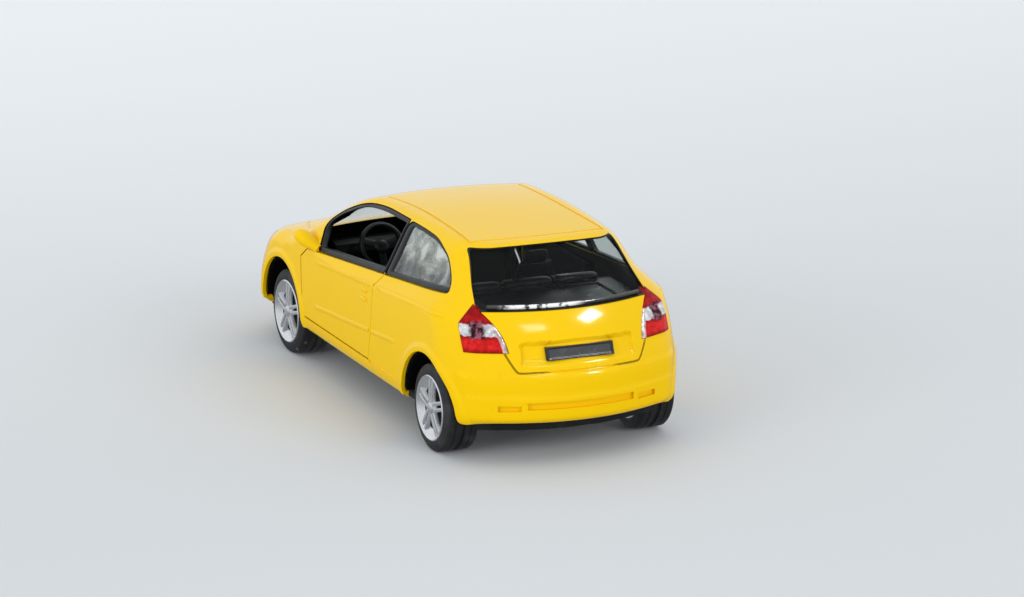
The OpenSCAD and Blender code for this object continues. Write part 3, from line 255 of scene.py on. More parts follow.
def prism(loop, near, far):
    """Side-view outline of x, z places drawn across the car from y = near to y = far."""
    n = len(loop)
    ends = [np.stack([loop[:, 0], np.full(n, y), loop[:, 1]], -1) for y in (near, far)]
    faces = [list(range(n)), list(range(2 * n - 1, n - 1, -1))]
    i = np.arange(n)
    faces += np.stack([i, i + n, (i + 1) % n + n, (i + 1) % n], -1).tolist()
    return outward(np.concatenate(ends), faces)


def sweep(path, up, profile, closed=False):
    """A closed profile of side and up offsets carried along a path, with flat ends unless the path is closed."""
    step = np.roll(path, -1, 0) - np.roll(path, 1, 0) if closed else np.gradient(path, axis=0)
    step /= np.linalg.norm(step, axis=1, keepdims=True)
    across = np.cross(step, up)
    across /= np.linalg.norm(across, axis=1, keepdims=True)
    lift = np.cross(across, step)
    profile = np.broadcast_to(profile, (len(path),) + np.shape(profile)[-2:])
    points = path[:, None] + profile[..., :1] * across[:, None] + profile[..., 1:] * lift[:, None]
    n, m = points.shape[:2]
    faces = grid_faces(n, m, closed, True)
    if not closed:
        faces += [list(range(m)), list(range((n - 1) * m, n * m))[::-1]]
    return outward(points, faces)


def angles(count):
    """Even turns round a full circle, in radians."""
    return np.linspace(0, 2 * np.pi, count, endpoint=False)


def revolve(profile, centre, count=96):
    """A closed profile of radius and y offsets turned about an axis across the car through the centre."""
    a = angles(count)[:, None]
    r, y = profile[:, 0], profile[:, 1]
    points = np.stack([centre[0] + r * np.cos(a), centre[1] + y + 0 * a, centre[2] + r * np.sin(a)], -1)
    return outward(points, grid_faces(count, len(profile), True, True))


def circle(r, count):
    """Places round a circle."""
    a = angles(count)
    return np.stack([r * np.cos(a), r * np.sin(a)], -1)


def rounded(corners, radii, turn=8, run=10):
    """Closed outline whose corners are replaced by parabola arcs that start the given distance before each corner."""
    c = np.asarray(corners, float)
    back, ahead = np.roll(c, 1, 0) - c, np.roll(c, -1, 0) - c
    lb, la = np.linalg.norm(back, axis=1), np.linalg.norm(ahead, axis=1)
    r = np.minimum(np.broadcast_to(radii, lb.shape), 0.45 * np.minimum(lb, la))[:, None]
    a, b = c + back / lb[:, None] * r, c + ahead / la[:, None] * r
    t = np.linspace(0, 1, turn)[None, :, None]
    arcs = (1 - t) ** 2 * a[:, None] + 2 * t * (1 - t) * c[:, None] + t ** 2 * b[:, None]
    s = (np.arange(1, run) / run)[None, :, None]
    lines = b[:, None] + s * (np.roll(a, -1, 0) - b)[:, None]
    return np.concatenate([arcs, lines], 1).reshape(-1, c.shape[1])


def moved(loop, d):
    """Outline with every corner moved to the right of its walk by a distance."""
    e = loop - np.roll(loop, 1, 0)
    e /= np.linalg.norm(e, axis=1, keepdims=True)
    n = np.stack([e[:, 1], -e[:, 0]], -1)
    f = np.roll(n, -1, 0)
    return loop + d * (n + f) / (1 + np.sum(n * f, 1))[:, None]


def flowing(points, count):
    """Smooth path through the points: a cubic whose tangents join each point's neighbours."""
    p = np.asarray(points, float)
    p = np.concatenate([2 * p[:1] - p[1:2], p, 2 * p[-1:] - p[-2:-1]])
    t = np.linspace(0, len(p) - 3 - 1e-9, count)
    i = t.astype(int)
    t = (t - i)[:, None]
    a, b, c, d = p[i], p[i + 1], p[i + 2], p[i + 3]
    return b + 0.5 * t * (c - a + t * (2 * a - 5 * b + 4 * c - d + t * (3 * (b - c) + d - a)))


def make(name, solid, body, material, replaces=(), uv=None):
    """A mesh object at the origin from millimetre points, riding on a body of the frame. A list of solids takes one
    material each; uv gives one map place for each point."""
    solids = solid if isinstance(solid, list) else [solid]
    points, faces = gather(*solids)
    mesh = bpy.data.meshes.new(name)
    mesh.from_pydata((points * MM).tolist(), [], faces)
    for m in (material if isinstance(material, list) else [material]):
        mesh.materials.append(m)
    if len(solids) > 1:
        mesh.polygons.foreach_set("material_index", np.repeat(np.arange(len(solids)), [len(s[1]) for s in solids]))
    if uv is not None:
        corner = read(mesh.loops, "vertex_index", kind=int)
        mesh.uv_layers.new(name="UVMap").data.foreach_set("uv", np.asarray(uv)[corner].ravel())
    mesh.update()
    obj = bpy.data.objects.new(name, mesh)
    bpy.context.scene.collection.objects.link(obj)
    mesh.shade_smooth()
    if body:
        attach(obj, body)
        if replaces:
            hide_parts(*replaces)
    return obj


def crisp(obj, angle=32):
    """Marks every edge sharper than the angle, so that flat and round parts shade as they are."""
    obj.data.set_sharp_from_angle(angle=math.radians(angle))
    return obj


def piece(name, solid, keys, body="car", node=None, sharp=50, uv=None):
    """A visible piece with its named finishes and hard edges, in place of a node where one is given."""
    return crisp(make(name, solid, body, [finish(k) for k in keys.split()], [node] if node else (), uv), sharp)


def bevelled(obj, width, angle=50):
    """Small rounding, in millimetres, along edges sharper than the angle."""
    mod = obj.modifiers.new("edges", "BEVEL")
    mod.width, mod.segments, mod.harden_normals = width * MM, 3, True
    mod.limit_method, mod.angle_limit = "ANGLE", math.radians(angle)
    return crisp(obj)


def read(items, key, width=1, kind=float):
    """An array of one property of a mesh's points, faces or corners."""
    values = np.empty(len(items) * width, kind)
    items.foreach_get(key, values)
    return values.reshape(-1, width) if width > 1 else values


def carve(obj, *solids):
    """Takes closed solids away from a mesh, one after the other, and keeps the result in the mesh."""
    cutters = [make("cutter", s, None, []) for s in solids]
    for c in cutters:
        mod = obj.modifiers.new("cut", "BOOLEAN")
        mod.operation, mod.solver, mod.object = "DIFFERENCE", "MANIFOLD", c
    graph = bpy.context.evaluated_depsgraph_get()
    cut = bpy.data.meshes.new_from_object(obj.evaluated_get(graph))
    if len(cut.polygons) < 100:
        raise RuntimeError("the cuts emptied " + obj.name)
    obj.modifiers.clear()
    obj.data = cut
    for c in cutters:
        bpy.data.meshes.remove(c.data)
    return obj


def polish(obj, line):
    """Gives corners on or just below the paint the surface's own direction and leaves every other face flat.
    Faces well below the paint and cut walls over the belt take the second, near-black material as painted shade; faces
    in the tailgate line's groove take the third, darker paint as painted shade."""
    just_below, same_way, cut_depth, line_reach, line_depth = 0.6, 0.86, 0.55, 0.28, 0.03
    mesh = obj.data
    v = read(mesh.vertices, "co", 3) / MM
    normal, centre = (read(mesh.polygons, key, 3) for key in ("normal", "center"))
    total, corner = read(mesh.polygons, "loop_total", kind=int), read(mesh.loops, "vertex_index", kind=int)
    flat, out = np.repeat(normal, total, 0), slope(v)[corner]
    fits = (skin(v) > -just_below)[corner] & (np.einsum("ij,ij->i", flat, out) > same_way)
    mesh.normals_split_custom_set(np.where(fits[:, None], out, flat).tolist())
    depth, lie = -skin(centre / MM), slope(centre / MM)
    turned = np.einsum("ij,ij->i", normal, lie) < 0.5
    x, y, z = centre.T / MM
    # Painted shade: inner faces and cut walls over the belt take the near-black second material.
    deep = (depth > 0.9 * WALL) | (turned & (depth > cut_depth) & (z > belt(x) - 0.4))
    close = np.min(np.hypot(y[:, None] - line[:, 1], z[:, None] - line[:, 2]), 1) < line_reach
    # Painted shade: faces in the tailgate line's groove get the darker third paint.
    index = np.where(deep, 1, 2 * (close & (depth > line_depth) & (x < 0)))
    mesh.polygons.foreach_set("material_index", index.astype(np.int32))
    mesh.update()
    return obj


# Finishes

def sum_of(operation, swapped=False):
    """A method that adds a Math node for the socket and another value, which comes first if swapped."""
    def method(self, other):
        a, b = (other, self) if swapped else (self, other)
        return self.nodes.node("ShaderNodeMath", {"operation": operation}, {0: a, 1: b})
    return method


class Value:
    """A shader socket that takes part in sums, each of which adds a Math node."""

    def __init__(self, nodes, socket):
        self.nodes, self.socket = nodes, socket

    __add__, __radd__ = sum_of("ADD"), sum_of("ADD", True)
    __sub__, __rsub__ = sum_of("SUBTRACT"), sum_of("SUBTRACT", True)
    __mul__, __rmul__ = sum_of("MULTIPLY"), sum_of("MULTIPLY", True)
    __truediv__, __rtruediv__ = sum_of("DIVIDE"), sum_of("DIVIDE", True)
    __gt__, __lt__ = sum_of("GREATER_THAN"), sum_of("LESS_THAN")
    most, least = sum_of("MAXIMUM"), sum_of("MINIMUM")

    def size(self):
        """The number without its sign."""
        return self.nodes.node("ShaderNodeMath", {"operation": "ABSOLUTE"}, {0: self})

    def sine(self):
        """The sine of an angle in radians."""
        return self.nodes.node("ShaderNodeMath", {"operation": "SINE"}, {0: self})

    def rise(self, low, high, start=0.0, end=1.0):
        """Smooth step from the start value at low to the end value at high."""
        return self.nodes.node("ShaderNodeMapRange", {"interpolation_type": "SMOOTHSTEP"},
                               {"Value": self, "From Min": low, "From Max": high, "To Min": start, "To Max": end})


class Nodes:
    """A node tree, emptied, with one call for any node and a short one to split a vector."""

    def __init__(self, tree):
        self.tree = tree
        tree.nodes.clear()

    def feed(self, node, sockets):
        """Links or sets a node's input sockets."""
        for key, value in sockets.items():
            if isinstance(value, Value):
                self.tree.links.new(value.socket, node.inputs[key])
            else:
                node.inputs[key].default_value = value

    def node(self, kind, settings=None, sockets=None, out=0):
        """Any node: its type, settings, socket values or links, and the output or outputs wanted."""
        node = self.tree.nodes.new(kind)
        for key, value in (settings or {}).items():
            setattr(node, key, value)
        self.feed(node, sockets or {})
        if out is None:
            return node
        return [Value(self, node.outputs[k]) for k in out] if isinstance(out, tuple) else Value(self, node.outputs[out])

    def parts(self, vector):
        """The three numbers of a vector."""
        return self.node("ShaderNodeSeparateXYZ", {}, {0: vector}, (0, 1, 2))


class Finish(Nodes):
    """A material with a Principled shader and short calls for the nodes that feed it."""

    def __init__(self, name, color, roughness, **constants):
        self.material = bpy.data.materials.new(name)
        self.material.use_nodes = True
        super().__init__(self.material.node_tree)
        self.shader = self.node("ShaderNodeBsdfPrincipled")
        self.place = self.node("ShaderNodeTexCoord", out="Object")
        self.output = self.node("ShaderNodeOutputMaterial", out=None)
        self.show(self.shader)
        self.set(base_color=tuple(color) + (1,), roughness=roughness, **constants)

    def show(self, shader):
        """Makes a shader the material's surface."""
        self.feed(self.output, {"Surface": shader})

    def set(self, **sockets):
        """Sets or links sockets of the Principled shader, named in small letters."""
        names = {k: k.replace("_", " ").title().replace("Ior", "IOR") for k in sockets}
        self.feed(self.shader.socket.node, {names[k]: v for k, v in sockets.items()})

    def noise(self, scale, detail=2.0, distortion=0.0):
        """Cloudy pattern; the scale is in patches per metre."""
        return self.node("ShaderNodeTexNoise", {}, {"Vector": self.place, "Scale": scale, "Detail": detail,
                                                    "Distortion": distortion})

    def cells(self, scale, out="Color"):
        """Scattered cells; the scale is in cells per metre."""
        return self.node("ShaderNodeTexVoronoi", {}, {"Vector": self.place, "Scale": scale}, out)

    def map(self):
        """The piece's own map, in millimetres."""
        s, h, _ = self.parts(self.node("ShaderNodeUVMap"))
        return s * 10, h * 10

    def mix(self, factor, a, b):
        """Colour b over colour a by a factor."""
        wide = [v if isinstance(v, Value) else tuple(v)[:3] + (1,) for v in (a, b)]
        return self.node("ShaderNodeMix", {"data_type": "RGBA"}, {0: factor, 6: wide[0], 7: wide[1]}, 2)

    def blend(self, factor, a, b):
        """Shader b over shader a by a factor."""
        return self.node("ShaderNodeMixShader", {}, {0: factor, 1: a, 2: b})

    def bump(self, height, strength, distance):
        """Bump from a height, with the distance in millimetres."""
        return self.node("ShaderNodeBump", {}, {"Height": height, "Strength": strength, "Distance": distance * MM})

    def specks(self, scale, size):
        """1 inside small round specks scattered over the surface, most cells left empty."""
        color, distance = self.cells(scale, ("Color", "Distance"))
        return (distance < size) * (self.parts(color)[0] > 0.86)


def shade(color, share):
    """A colour taken darker or lighter by a share."""
    return tuple(min(1.0, c * share) for c in tuple(color)[:3])


def paint_finish(name, color):
    """Thick glossy enamel: a faint cloudiness, orange-peel bump, a few dust specks and chips."""
    f = Finish(name, color, 0.3, coat_weight=0.12, coat_roughness=0.03, specular_ior_level=0.1)
    cloud = f.mix(f.noise(60, 3).rise(0.35, 0.7) * 0.12, color, shade(color, 0.88))
    dust, chips = f.specks(150, 0.028) * 0.4, f.specks(60, 0.014) * 0.8
    f.set(base_color=f.mix(chips, f.mix(dust, cloud, (0.6, 0.42, 0.1)), (0.05, 0.035, 0.01)),
          roughness=f.noise(900, 2) * 0.06 + 0.1, normal=f.bump(f.noise(700, 2), 0.04, 0.02))
    return f.material


def plastic_finish(name, color, rough=0.42, grain=2200, dusty=0.5, shine=0.35):
    """Moulded plastic: fine grain in the bump, uneven sheen and pale dust."""
    f = Finish(name, color, rough, specular_ior_level=shine)
    dust = (f.noise(140, 4).rise(0.52, 0.78) * 0.05 + f.specks(500, 0.12) * 0.25) * dusty
    f.set(base_color=f.mix(dust, color, (0.42, 0.41, 0.4)), roughness=f.noise(260, 3) * 0.24 + (rough - 0.12),
          normal=f.bump(f.noise(grain, 2), 0.6 * shine, 0.03))
    return f.material


def glass_finish(name, tint, strength, ripple=0.5, cloud=0.0, haze=0.0):
    """Thin clear moulding: see-through where faced, mirror-like where grazed, with moulding ripples and dust; on
    request a cloudy face of dirty streaks over dark and pale tones that are painted shade and light seen through the
    pane, lighter towards the top, or a pale haze that light from behind brings out where the pane is grazed."""
    f = Finish(name, (0.9, 0.92, 0.94), 0.04, metallic=1.0)
    wave = f.bump(f.noise(170, 3), ripple, 0.12)
    f.set(normal=wave, roughness=f.noise(320, 2) * 0.08 + 0.02)
    side = f.node("ShaderNodeLayerWeight", {}, {"Blend": 0.5, "Normal": wave}, "Facing")
    graze = side * side * side * side * side * 0.9 + 0.04
    body = f.node("ShaderNodeBsdfTransparent", {}, {0: tuple(tint)[:3] + (1,)})
    streak = f.noise(260, 5, 1.6)
    if cloud:
        # Painted light: the pane's face is painted pale towards the top and dark below, standing in for light and shade
        # seen through it; the streaks are dirt.
        upper = f.parts(f.place)[2].rise(0.029, 0.036)
        painted_view_tone = f.mix(f.noise(300, 3).rise(0.4, 0.6) * 0.55 + upper * 0.45, (0.08, 0.1, 0.075), (0.6, 0.62, 0.56))
        face = f.node("ShaderNodeBsdfPrincipled", {}, {"Base Color": painted_view_tone, "Roughness": 0.5})
        cover = streak.rise(0.42, 0.58) * (upper * 0.2 + 0.3) + upper * 0.5
        body = f.blend(cover * cloud, body, face)
    if haze:
        veil = f.node("ShaderNodeBsdfTranslucent", {}, {0: (0.9, 0.91, 0.93, 1)})
        body = f.blend(side * side * (streak * 0.5 + 0.75) * haze, body, veil)
    share = (graze * strength + f.specks(500, 0.06) * 0.2).least(0.95)
    f.show(f.blend(share, body, f.shader))
    return f.material


def lip_finish(name):
    """Bright rolled edge of the clear moulding: painted white glints broken by dark streaks, strongest left of the
    middle.
    """
    f = Finish(name, (0.05, 0.05, 0.05), 0.12, specular_ior_level=0.8)
    middle_y, half = 5.4 * MM, 8.8 * MM
    away = ((f.parts(f.place)[1] - middle_y) / half).size()
    # Painted highlight: white glints painted into the colour along the middle of the edge.
    glint = (1 - away.rise(0.6, 1.0)) * f.noise(900, 3).rise(0.38, 0.5)
    f.set(base_color=f.mix(glint, (0.03, 0.03, 0.03), (0.93, 0.94, 0.96)), roughness=f.noise(500, 2) * 0.2 + 0.05)
    return f.material


def tail_finish(name, red, clear):
    """Tail lens read from its map along the lamp and in height: red cap, silver band with a dark reflector in its
    middle, red block with prism ribs, lighter red cores painted in the block and faintly in the cap as painted light
    through the lens, and a clear strip along the inner edge."""
    f = Finish(name, red, 0.1, coat_weight=0.06, coat_roughness=0.03, specular_ior_level=0.1)
    s, h = f.map()
    wave = (f.noise(900, 3) - 0.5) * 0.7
    lamp_foot, lamp_height, lamp_bulge = 9.9, 7.8, TAIL[2]
    inner = lamp_foot - h * 1.05 + (h * (math.pi / lamp_height)).sine() * lamp_bulge - s
    below = 1 - (h + wave).rise(4.7, 5.0)
    strip = (1 - (inner + wave * 0.3).rise(0.55, 0.85)) * below
    band = (h + wave).rise(2.75, 2.95) * below
    beside = (s - 3.7 + (h - 4) * 0.3 + wave * 2).size()
    dark = (1 - beside.rise(1.0, 1.7)) * (h + wave * 2).rise(2.2, 2.6) * (1 - h.rise(5.0, 5.6))
    flick = f.noise(1100, 3).rise(0.3, 0.7)
    deep = f.mix(flick.rise(0.2, 0.95), shade(red, 0.6), shade(red, 0.85))
    # Painted light: lighter red where light shines through the lens, strongest in the middle of the lower block, faint
    # in the cap.
    painted_light_core = (1 - (h - 1.4).size().rise(0.4, 1.4)).most((1 - (h - 5.7).size().rise(0.1, 0.7)) * 0.35)
    painted_glow = f.mix(painted_light_core * (flick * 0.4 + 0.4), deep, (0.85, 0.02, 0.018))
    silver = f.mix(flick, shade(clear, 0.6), clear)
    cup = f.mix(flick.rise(0.3, 0.9), (0.03, 0.006, 0.012), (0.3, 0.1, 0.14))
    block = f.mix(dark, f.mix(band, painted_glow, silver), cup)
    ribs = (s * 16).sine()
    f.set(base_color=f.mix(strip, block, f.mix(flick, (0.5, 0.3, 0.28), (0.85, 0.8, 0.78))),
          metallic=band.most(strip) * 0.35, roughness=flick * 0.22 + 0.06,
          normal=f.bump(flick + ribs * 0.12, 0.3, 0.12))
    return f.material


def head_finish(name, clear):
    """Headlamp lens over a faceted reflector with two round bowls."""
    f = Finish(name, clear, 0.12, coat_weight=1.0, coat_roughness=0.03)
    s, h = f.map()

    def bowl(at, size):
        """1 inside a bowl at a place along the lamp."""
        return 1 - ((s - at) * (s - at) + (h - 2.0) * (h - 2.0) * 1.3).rise(size * size * 0.7, size * size)

    inner_s, outer_s = 3.4, 8.2
    wide = bowl(inner_s, 1.7).most(bowl(outer_s, 1.9))
    core = bowl(inner_s, 0.8).most(bowl(outer_s, 0.9))
    flick = f.parts(f.cells(700))[0]
    back = f.mix(flick, (0.2, 0.21, 0.22), (0.5, 0.52, 0.54))
    f.set(base_color=f.mix(core, f.mix(wide, back, (0.62, 0.64, 0.66)), (0.36, 0.37, 0.39)),
          metallic=wide * 0.6 + 0.2, roughness=flick * 0.2 + 0.08, normal=f.bump(flick + wide, 0.3, 0.15))
    return f.material


def metal_finish(name, color, rough, grain=800, metallic=0.92):
    """Silvered or bare metal: cloudy sheen, a little grime and fine scratches."""
    f = Finish(name, color, rough, metallic=metallic)
    grime = f.noise(380, 4).rise(0.5, 0.78) * 0.35
    f.set(base_color=f.mix(grime, color, shade(color, 0.45)), roughness=f.noise(grain, 3) * 0.3 + (rough - 0.15),
          normal=f.bump(f.noise(grain * 3, 2), 0.12, 0.02))
    return f.material


def tyre_finish(name, color):
    """Soft black vinyl: dusty bloom, pale specks and a fine bump."""
    f = Finish(name, color, 0.62, specular_ior_level=0.35)
    bloom = f.noise(230, 4).rise(0.45, 0.8) * 0.1 + f.specks(420, 0.16) * 0.3
    f.set(base_color=f.mix(bloom, color, (0.3, 0.29, 0.28)), roughness=f.noise(500, 3) * 0.25 + 0.48,
          normal=f.bump(f.noise(1800, 3), 0.3, 0.04))
    return f.material


def plate_finish(name, border, field):
    """Bare plate: satin field, black raised border, scuffs."""
    f = Finish(name, field, 0.3, coat_weight=0.4, coat_roughness=0.2)
    x, y = f.map()
    rim = x.size().rise(6.15, 6.3).most(y.size().rise(0.8, 0.92))
    scuff = f.noise(420, 5).rise(0.45, 0.75) * 0.5
    f.set(base_color=f.mix(rim, f.mix(scuff, field, shade(field, 1.7)), border),
          roughness=scuff * 0.3 + 0.22, normal=f.bump(f.noise(900, 3), 0.2, 0.03))
    return f.material


# Outlines shared by the pieces

def window_corners():
    """Door and quarter window outlines as x, z corners, walked from the front over the roof, with corner roundings."""
    share = np.array([[0.042, 0], [0, 0.43], [0.059, 0.63], [0.205, 0.9], [0.348, 0.98], [0.52, 1],
                      [0.669, 1], [0.787, 0.965], [0.894, 0.75], [0.952, 0.4], [1, 0]])
    x = WINDOW_FRONT - share[:, 0] * WINDOW_SPAN
    loop = np.stack([x, belt(x) + share[:, 1] * (WINDOW_TOP - belt(x))], -1)
    fore, aft = PILLAR_X + PILLAR_HALF, PILLAR_X - PILLAR_HALF
    door = np.concatenate([loop[:6], [[fore, WINDOW_TOP], [fore, belt(fore)]]])
    quarter = np.concatenate([[[aft, belt(aft)], [aft, WINDOW_TOP]], loop[6:]])
    return (door, np.array([1.0, 2.2, 3, 4, 4, 4, 0.9, 0.9])), (quarter, np.array([0.9, 0.9, 4, 4, 3, 2.6, 1.0]))


def door_edge(v):
    """x of the rear and front door edges over the share of height from sill to belt, by straight runs."""
    turns = [0, 0.36, 0.86, 1]
    return np.interp(v, turns, [-10.8, -12.2, -12.2, -13.7]), np.interp(v, turns, [22.9, 22.9, 24.0, 21.0])


def door_places(u, v):
    """x and z over the door: between its edges along the car, between sill line and belt in height."""
    rear, front = door_edge(v)
    x = rear + u * (front - rear)
    return x, DOOR_FOOT + v * (belt(x) - 0.1 - DOOR_FOOT)


def door_loop(gap):
    """Door outline drawn out by a gap."""
    v = np.array([0, 0.18, 0.36, 0.55, 0.72, 0.86, 0.93, 1])
    up, down = np.stack(door_places(0 * v, v), -1), np.stack(door_places(0 * v + 1, v), -1)[::-1]
    return moved(np.concatenate([up, down]), -gap)


def rear_outline(inset):
    """Rear window seen along the car: a level lower edge and an upper edge that bows upwards as a parabola."""
    foot_half, top_half, bow, count = 17.8, 14.9, 0.5, 13
    t = np.linspace(-1, 1, count)
    low = np.stack([t * (foot_half - inset), GLASS_FOOT + inset + 0 * t], -1)
    high = np.stack([-t * (top_half - inset), WINDOW_TOP - inset + bow * (1 - t * t)], -1)
    radii = np.full(2 * count, 0.6)
    radii[[0, count - 1, count, -1]] = 0.7
    return rounded(np.concatenate([low, high]), radii, 6, 4)


def screen_outline(inset):
    """Windscreen seen along the car."""
    foot, top, low, high = 18.6 - inset, 14.0 - inset, 27.6 + inset, 37.0 - inset
    return rounded([[-foot, low], [foot, low], [top, high], [-top, high]], 1.0, 8, 14)


def to_end(q, depth, near, far):
    """Places at a depth over y and z, sought along the car between two x."""
    x = 0 * q[..., :1]
    return reach(np.concatenate([x + near, q], -1), np.concatenate([x + far, q], -1), depth)


def to_rear(q, depth):
    """Places on the tail over y and z."""
    return to_end(q, depth, -22, -70)


def to_front(q, depth):
    """Places on the windscreen or nose over y and z."""
    return to_end(q, depth, 0, 70)


def to_side(q, depth):
    """Places on the left side over x and z, sunk straight across the car."""
    return on_flank(q[..., 0], q[..., 1]) - np.asarray(depth, float) * np.array([0, 1.0, 0])


def to_top(q):
    """Places on the roof or bonnet over x and y."""
    z = 0 * q[..., :1]
    return reach(np.concatenate([q, z + 18], -1), np.concatenate([q, z + 50], -1))


def patch(loop, place, near, far, rings=10):
    """Pane inside an outline: the outline shrunk towards its middle ring by ring, at two depths, joined at the rim."""
    mid = loop.mean(0)
    s = np.linspace(0, 1, rings + 1)[1:, None, None]
    flat = mid + s * (loop - mid)
    n = len(loop)
    sheets = [np.concatenate([place(mid[None], d), place(flat, d).reshape(-1, 3)]) for d in (near, far)]
    k = 1 + rings * n
    i = np.arange(n)
    j = (i + 1) % n
    faces = np.stack([0 * i, i + 1, j + 1], -1).tolist() + grid_faces(rings, n, False, True, 1)
    back = [[v + k for v in f[::-1]] for f in faces]
    rim = 1 + (rings - 1) * n
    faces += back + np.stack([rim + i, rim + i + k, rim + j + k, rim + j], -1).tolist()
    return outward(np.concatenate(sheets), faces)


def ring(outer, inner, place, section):
    """Strip between two outlines: a closed section of shares across and depths carried round them."""
    section = np.asarray(section, float)
    w = section[:, 0][None, :, None]
    flat = outer[:, None] * (1 - w) + inner[:, None] * w
    points = np.stack([place(flat[:, k], d) for k, d in enumerate(section[:, 1])], 1)
    return outward(points, grid_faces(len(outer), len(section), True, True))


def lamp_grid(turn, corners, bulge, depth, count, grow=0.0):
    """Places over a four-cornered lamp that faces a turn angle: corners are along the lamp and in height, and the last
    edge swells by the bulge as a half sine."""
    c = moved(np.asarray(corners, float), grow)
    u, v = np.meshgrid(np.linspace(0, 1, count), np.linspace(0, 1, count), indexing="ij")
    u, v = u[..., None], v[..., None]
    q = (1 - u) * ((1 - v) * c[0] + v * c[1]) + u * ((1 - v) * c[3] + v * c[2])
    q = q + bulge * u * np.sin(np.pi * v) * np.array([1.0, 0])
    a = math.radians(turn)
    away, along = np.array([math.cos(a), math.sin(a), 0]), np.array([-math.sin(a), math.cos(a), 0])
    start = q[..., :1] * along + q[..., 1:] * np.array([0, 0, 1.0])
    return reach(start, start + 82 * away, depth), q


# Lamps: the angle that each faces, its corners along the lamp and in height, and the bulge of its last edge
TAIL = (135, [[17.6, 26.5], [19.5, 21.7], [27.5, 21.7], [19.3, 29.5]], 1.5)
HEAD = (45, [[-26.5, 20.7], [-28, 17.8], [-17.8, 17.8], [-16.4, 22.0]], 0.0)
GRILLE = (0, [[-9, 14.3], [-9, 10.9], [9, 10.9], [9, 14.3]], 0.0)


def lamp_hole(lamp):
    """Pocket for a lamp through the shell, a little larger than the lamp."""
    return slab(lamp_grid(*lamp, -1.5, 9, 0.1)[0], lamp_grid(*lamp, 3.0, 9, 0.1)[0])


# The painted shell

def crowd(t):
    """Place from -1 to 1 that crowds gently towards both ends."""
    return 0.6 * np.sin(np.pi * (t - 0.5)) + 0.4 * (2 * t - 1)


def capped(rings, start=None, end=None):
    """Closed skin over a row of rings, with a middle point at each end."""
    n, m = rings.shape[:2]
    poles = [rings[0].mean(0) if start is None else start, rings[-1].mean(0) if end is None else end]
    j, last = np.arange(m), (n - 1) * m
    faces = grid_faces(n, m, False, True)
    faces += np.stack([j, (j + 1) % m, 0 * j + n * m], -1).tolist()
    faces += np.stack([last + (j + 1) % m, last + j, 0 * j + n * m + 1], -1).tolist()
    return outward(np.concatenate([rings.reshape(-1, 3), poles]), faces)


def form(depth, low, along, across, up, tail, nose):
    """Closed form at a depth below the paint: rings from tail to nose, each point on a line from a core box to a
    cage box, found where that line meets the surface."""
    a, u = np.arange(across) / across, np.arange(up) / up
    edge = np.concatenate([np.stack([crowd(a), 1 + 0 * a], -1), np.stack([1 + 0 * u, -crowd(u)], -1),
                           np.stack([-crowd(a), -1 + 0 * a], -1), np.stack([-1 + 0 * u, crowd(u)], -1)])
    t, n = np.arange(1, tail + 1) / tail, np.arange(nose - 1, 0, -1) / nose
    x = np.concatenate([-1 + 0 * t, np.linspace(-1, 1, along + 1)[1:], 1 + 0 * n])
    r = np.concatenate([t, np.ones(along), n])
    r = 0.5 * r + 0.5 * np.sin(np.pi / 2 * r)
    unit = np.concatenate([np.broadcast_to(x[:, None, None], (len(x), len(edge), 1)), r[:, None, None] * edge], -1)

    core, cage = ([0, 0, 15.6], [37.9, 13.1, 4.4]), ([0, 0, 36.5], [60.4, 27.7, 39.5])

    def meeting(unit):
        """Places of the surface on the lines between the two boxes."""
        return reach(*(np.array(middle) + unit * half for middle, half in (core, cage)), depth, low)

    return capped(meeting(unit), meeting(np.array([-1.0, 0, 0])), meeting(np.array([1.0, 0, 0])))


def groove(path, r):
    """Round channel along a path on the paint."""
    return sweep(path, slope(path), circle(r, 10))


def round_arch(x, out, count):
    """x and z round a wheel arch, at radii that go across the second axis."""
    turn = np.radians(np.linspace(-2, 182, count))[:, None]
    return x + out * np.cos(turn), AXLE_Z + out * np.sin(turn)


def arch_lip(x, r, height):
    """Rounded flare over a wheel arch: a raised cosine carried round the arch, fading into the flank."""
    s, peak, width = np.linspace(0, 1, 14), 0.4, 2.0
    fall = np.cos((s - peak) / (1 - peak) * np.pi) * 0.5 + 0.5
    crest = np.where(s < peak, 1 - 0.3 * (1 - s / peak) ** 2, fall)
    px, pz = round_arch(x, r - 0.02 + width * s, 120)
    return slab(on_flank(px, pz, 0 * px - height * crest + 0.015 * (s > 0.99)), on_flank(px, pz, 0 * px + 0.35))


def arch_relief(x, r):
    """Cut behind the edge of a wheel arch that leaves a thin lip: a band round it, from below the paint inwards."""
    px, pz = round_arch(x, r + np.linspace(-1.5, 2.4, 8), 90)
    return slab(on_flank(px, pz, 0.5), on_flank(px, pz, 5.0))


def arch_liner(x, r):
    """Wheel house behind an arch: a round band from the flank inwards and a wall with a hole for the axle."""
    count, thick, hole, back = 80, 0.4, 3.2, 14.4
    turn = np.radians(np.linspace(2, 178, count))
    edge = on_flank(x + r * np.cos(turn), AXLE_Z + r * np.sin(turn))[:, 1] - 0.8
    wall = np.full(count, back)
    out = np.array([r, r, hole, hole, r - thick, r - thick])
    y = np.stack([edge, wall, wall, wall + thick, wall + thick, edge], -1)
    points = np.stack([x + out * np.cos(turn)[:, None], y, AXLE_Z + out * np.sin(turn)[:, None]], -1)
    n = len(out)
    ends = [list(range(n)), list(range((count - 1) * n, count * n))[::-1]]
    return outward(points, grid_faces(count, n, False, True) + ends)


def bead(path, width, height):
    """Low rounded strip along a path on the paint."""
    a = np.linspace(0, np.pi, 9)
    top = np.stack([width / 2 * np.cos(a), height * np.sin(a)], -1)
    root = -0.3
    return sweep(path, slope(path), np.concatenate([top, [[-width / 2, root], [width / 2, root]]]))


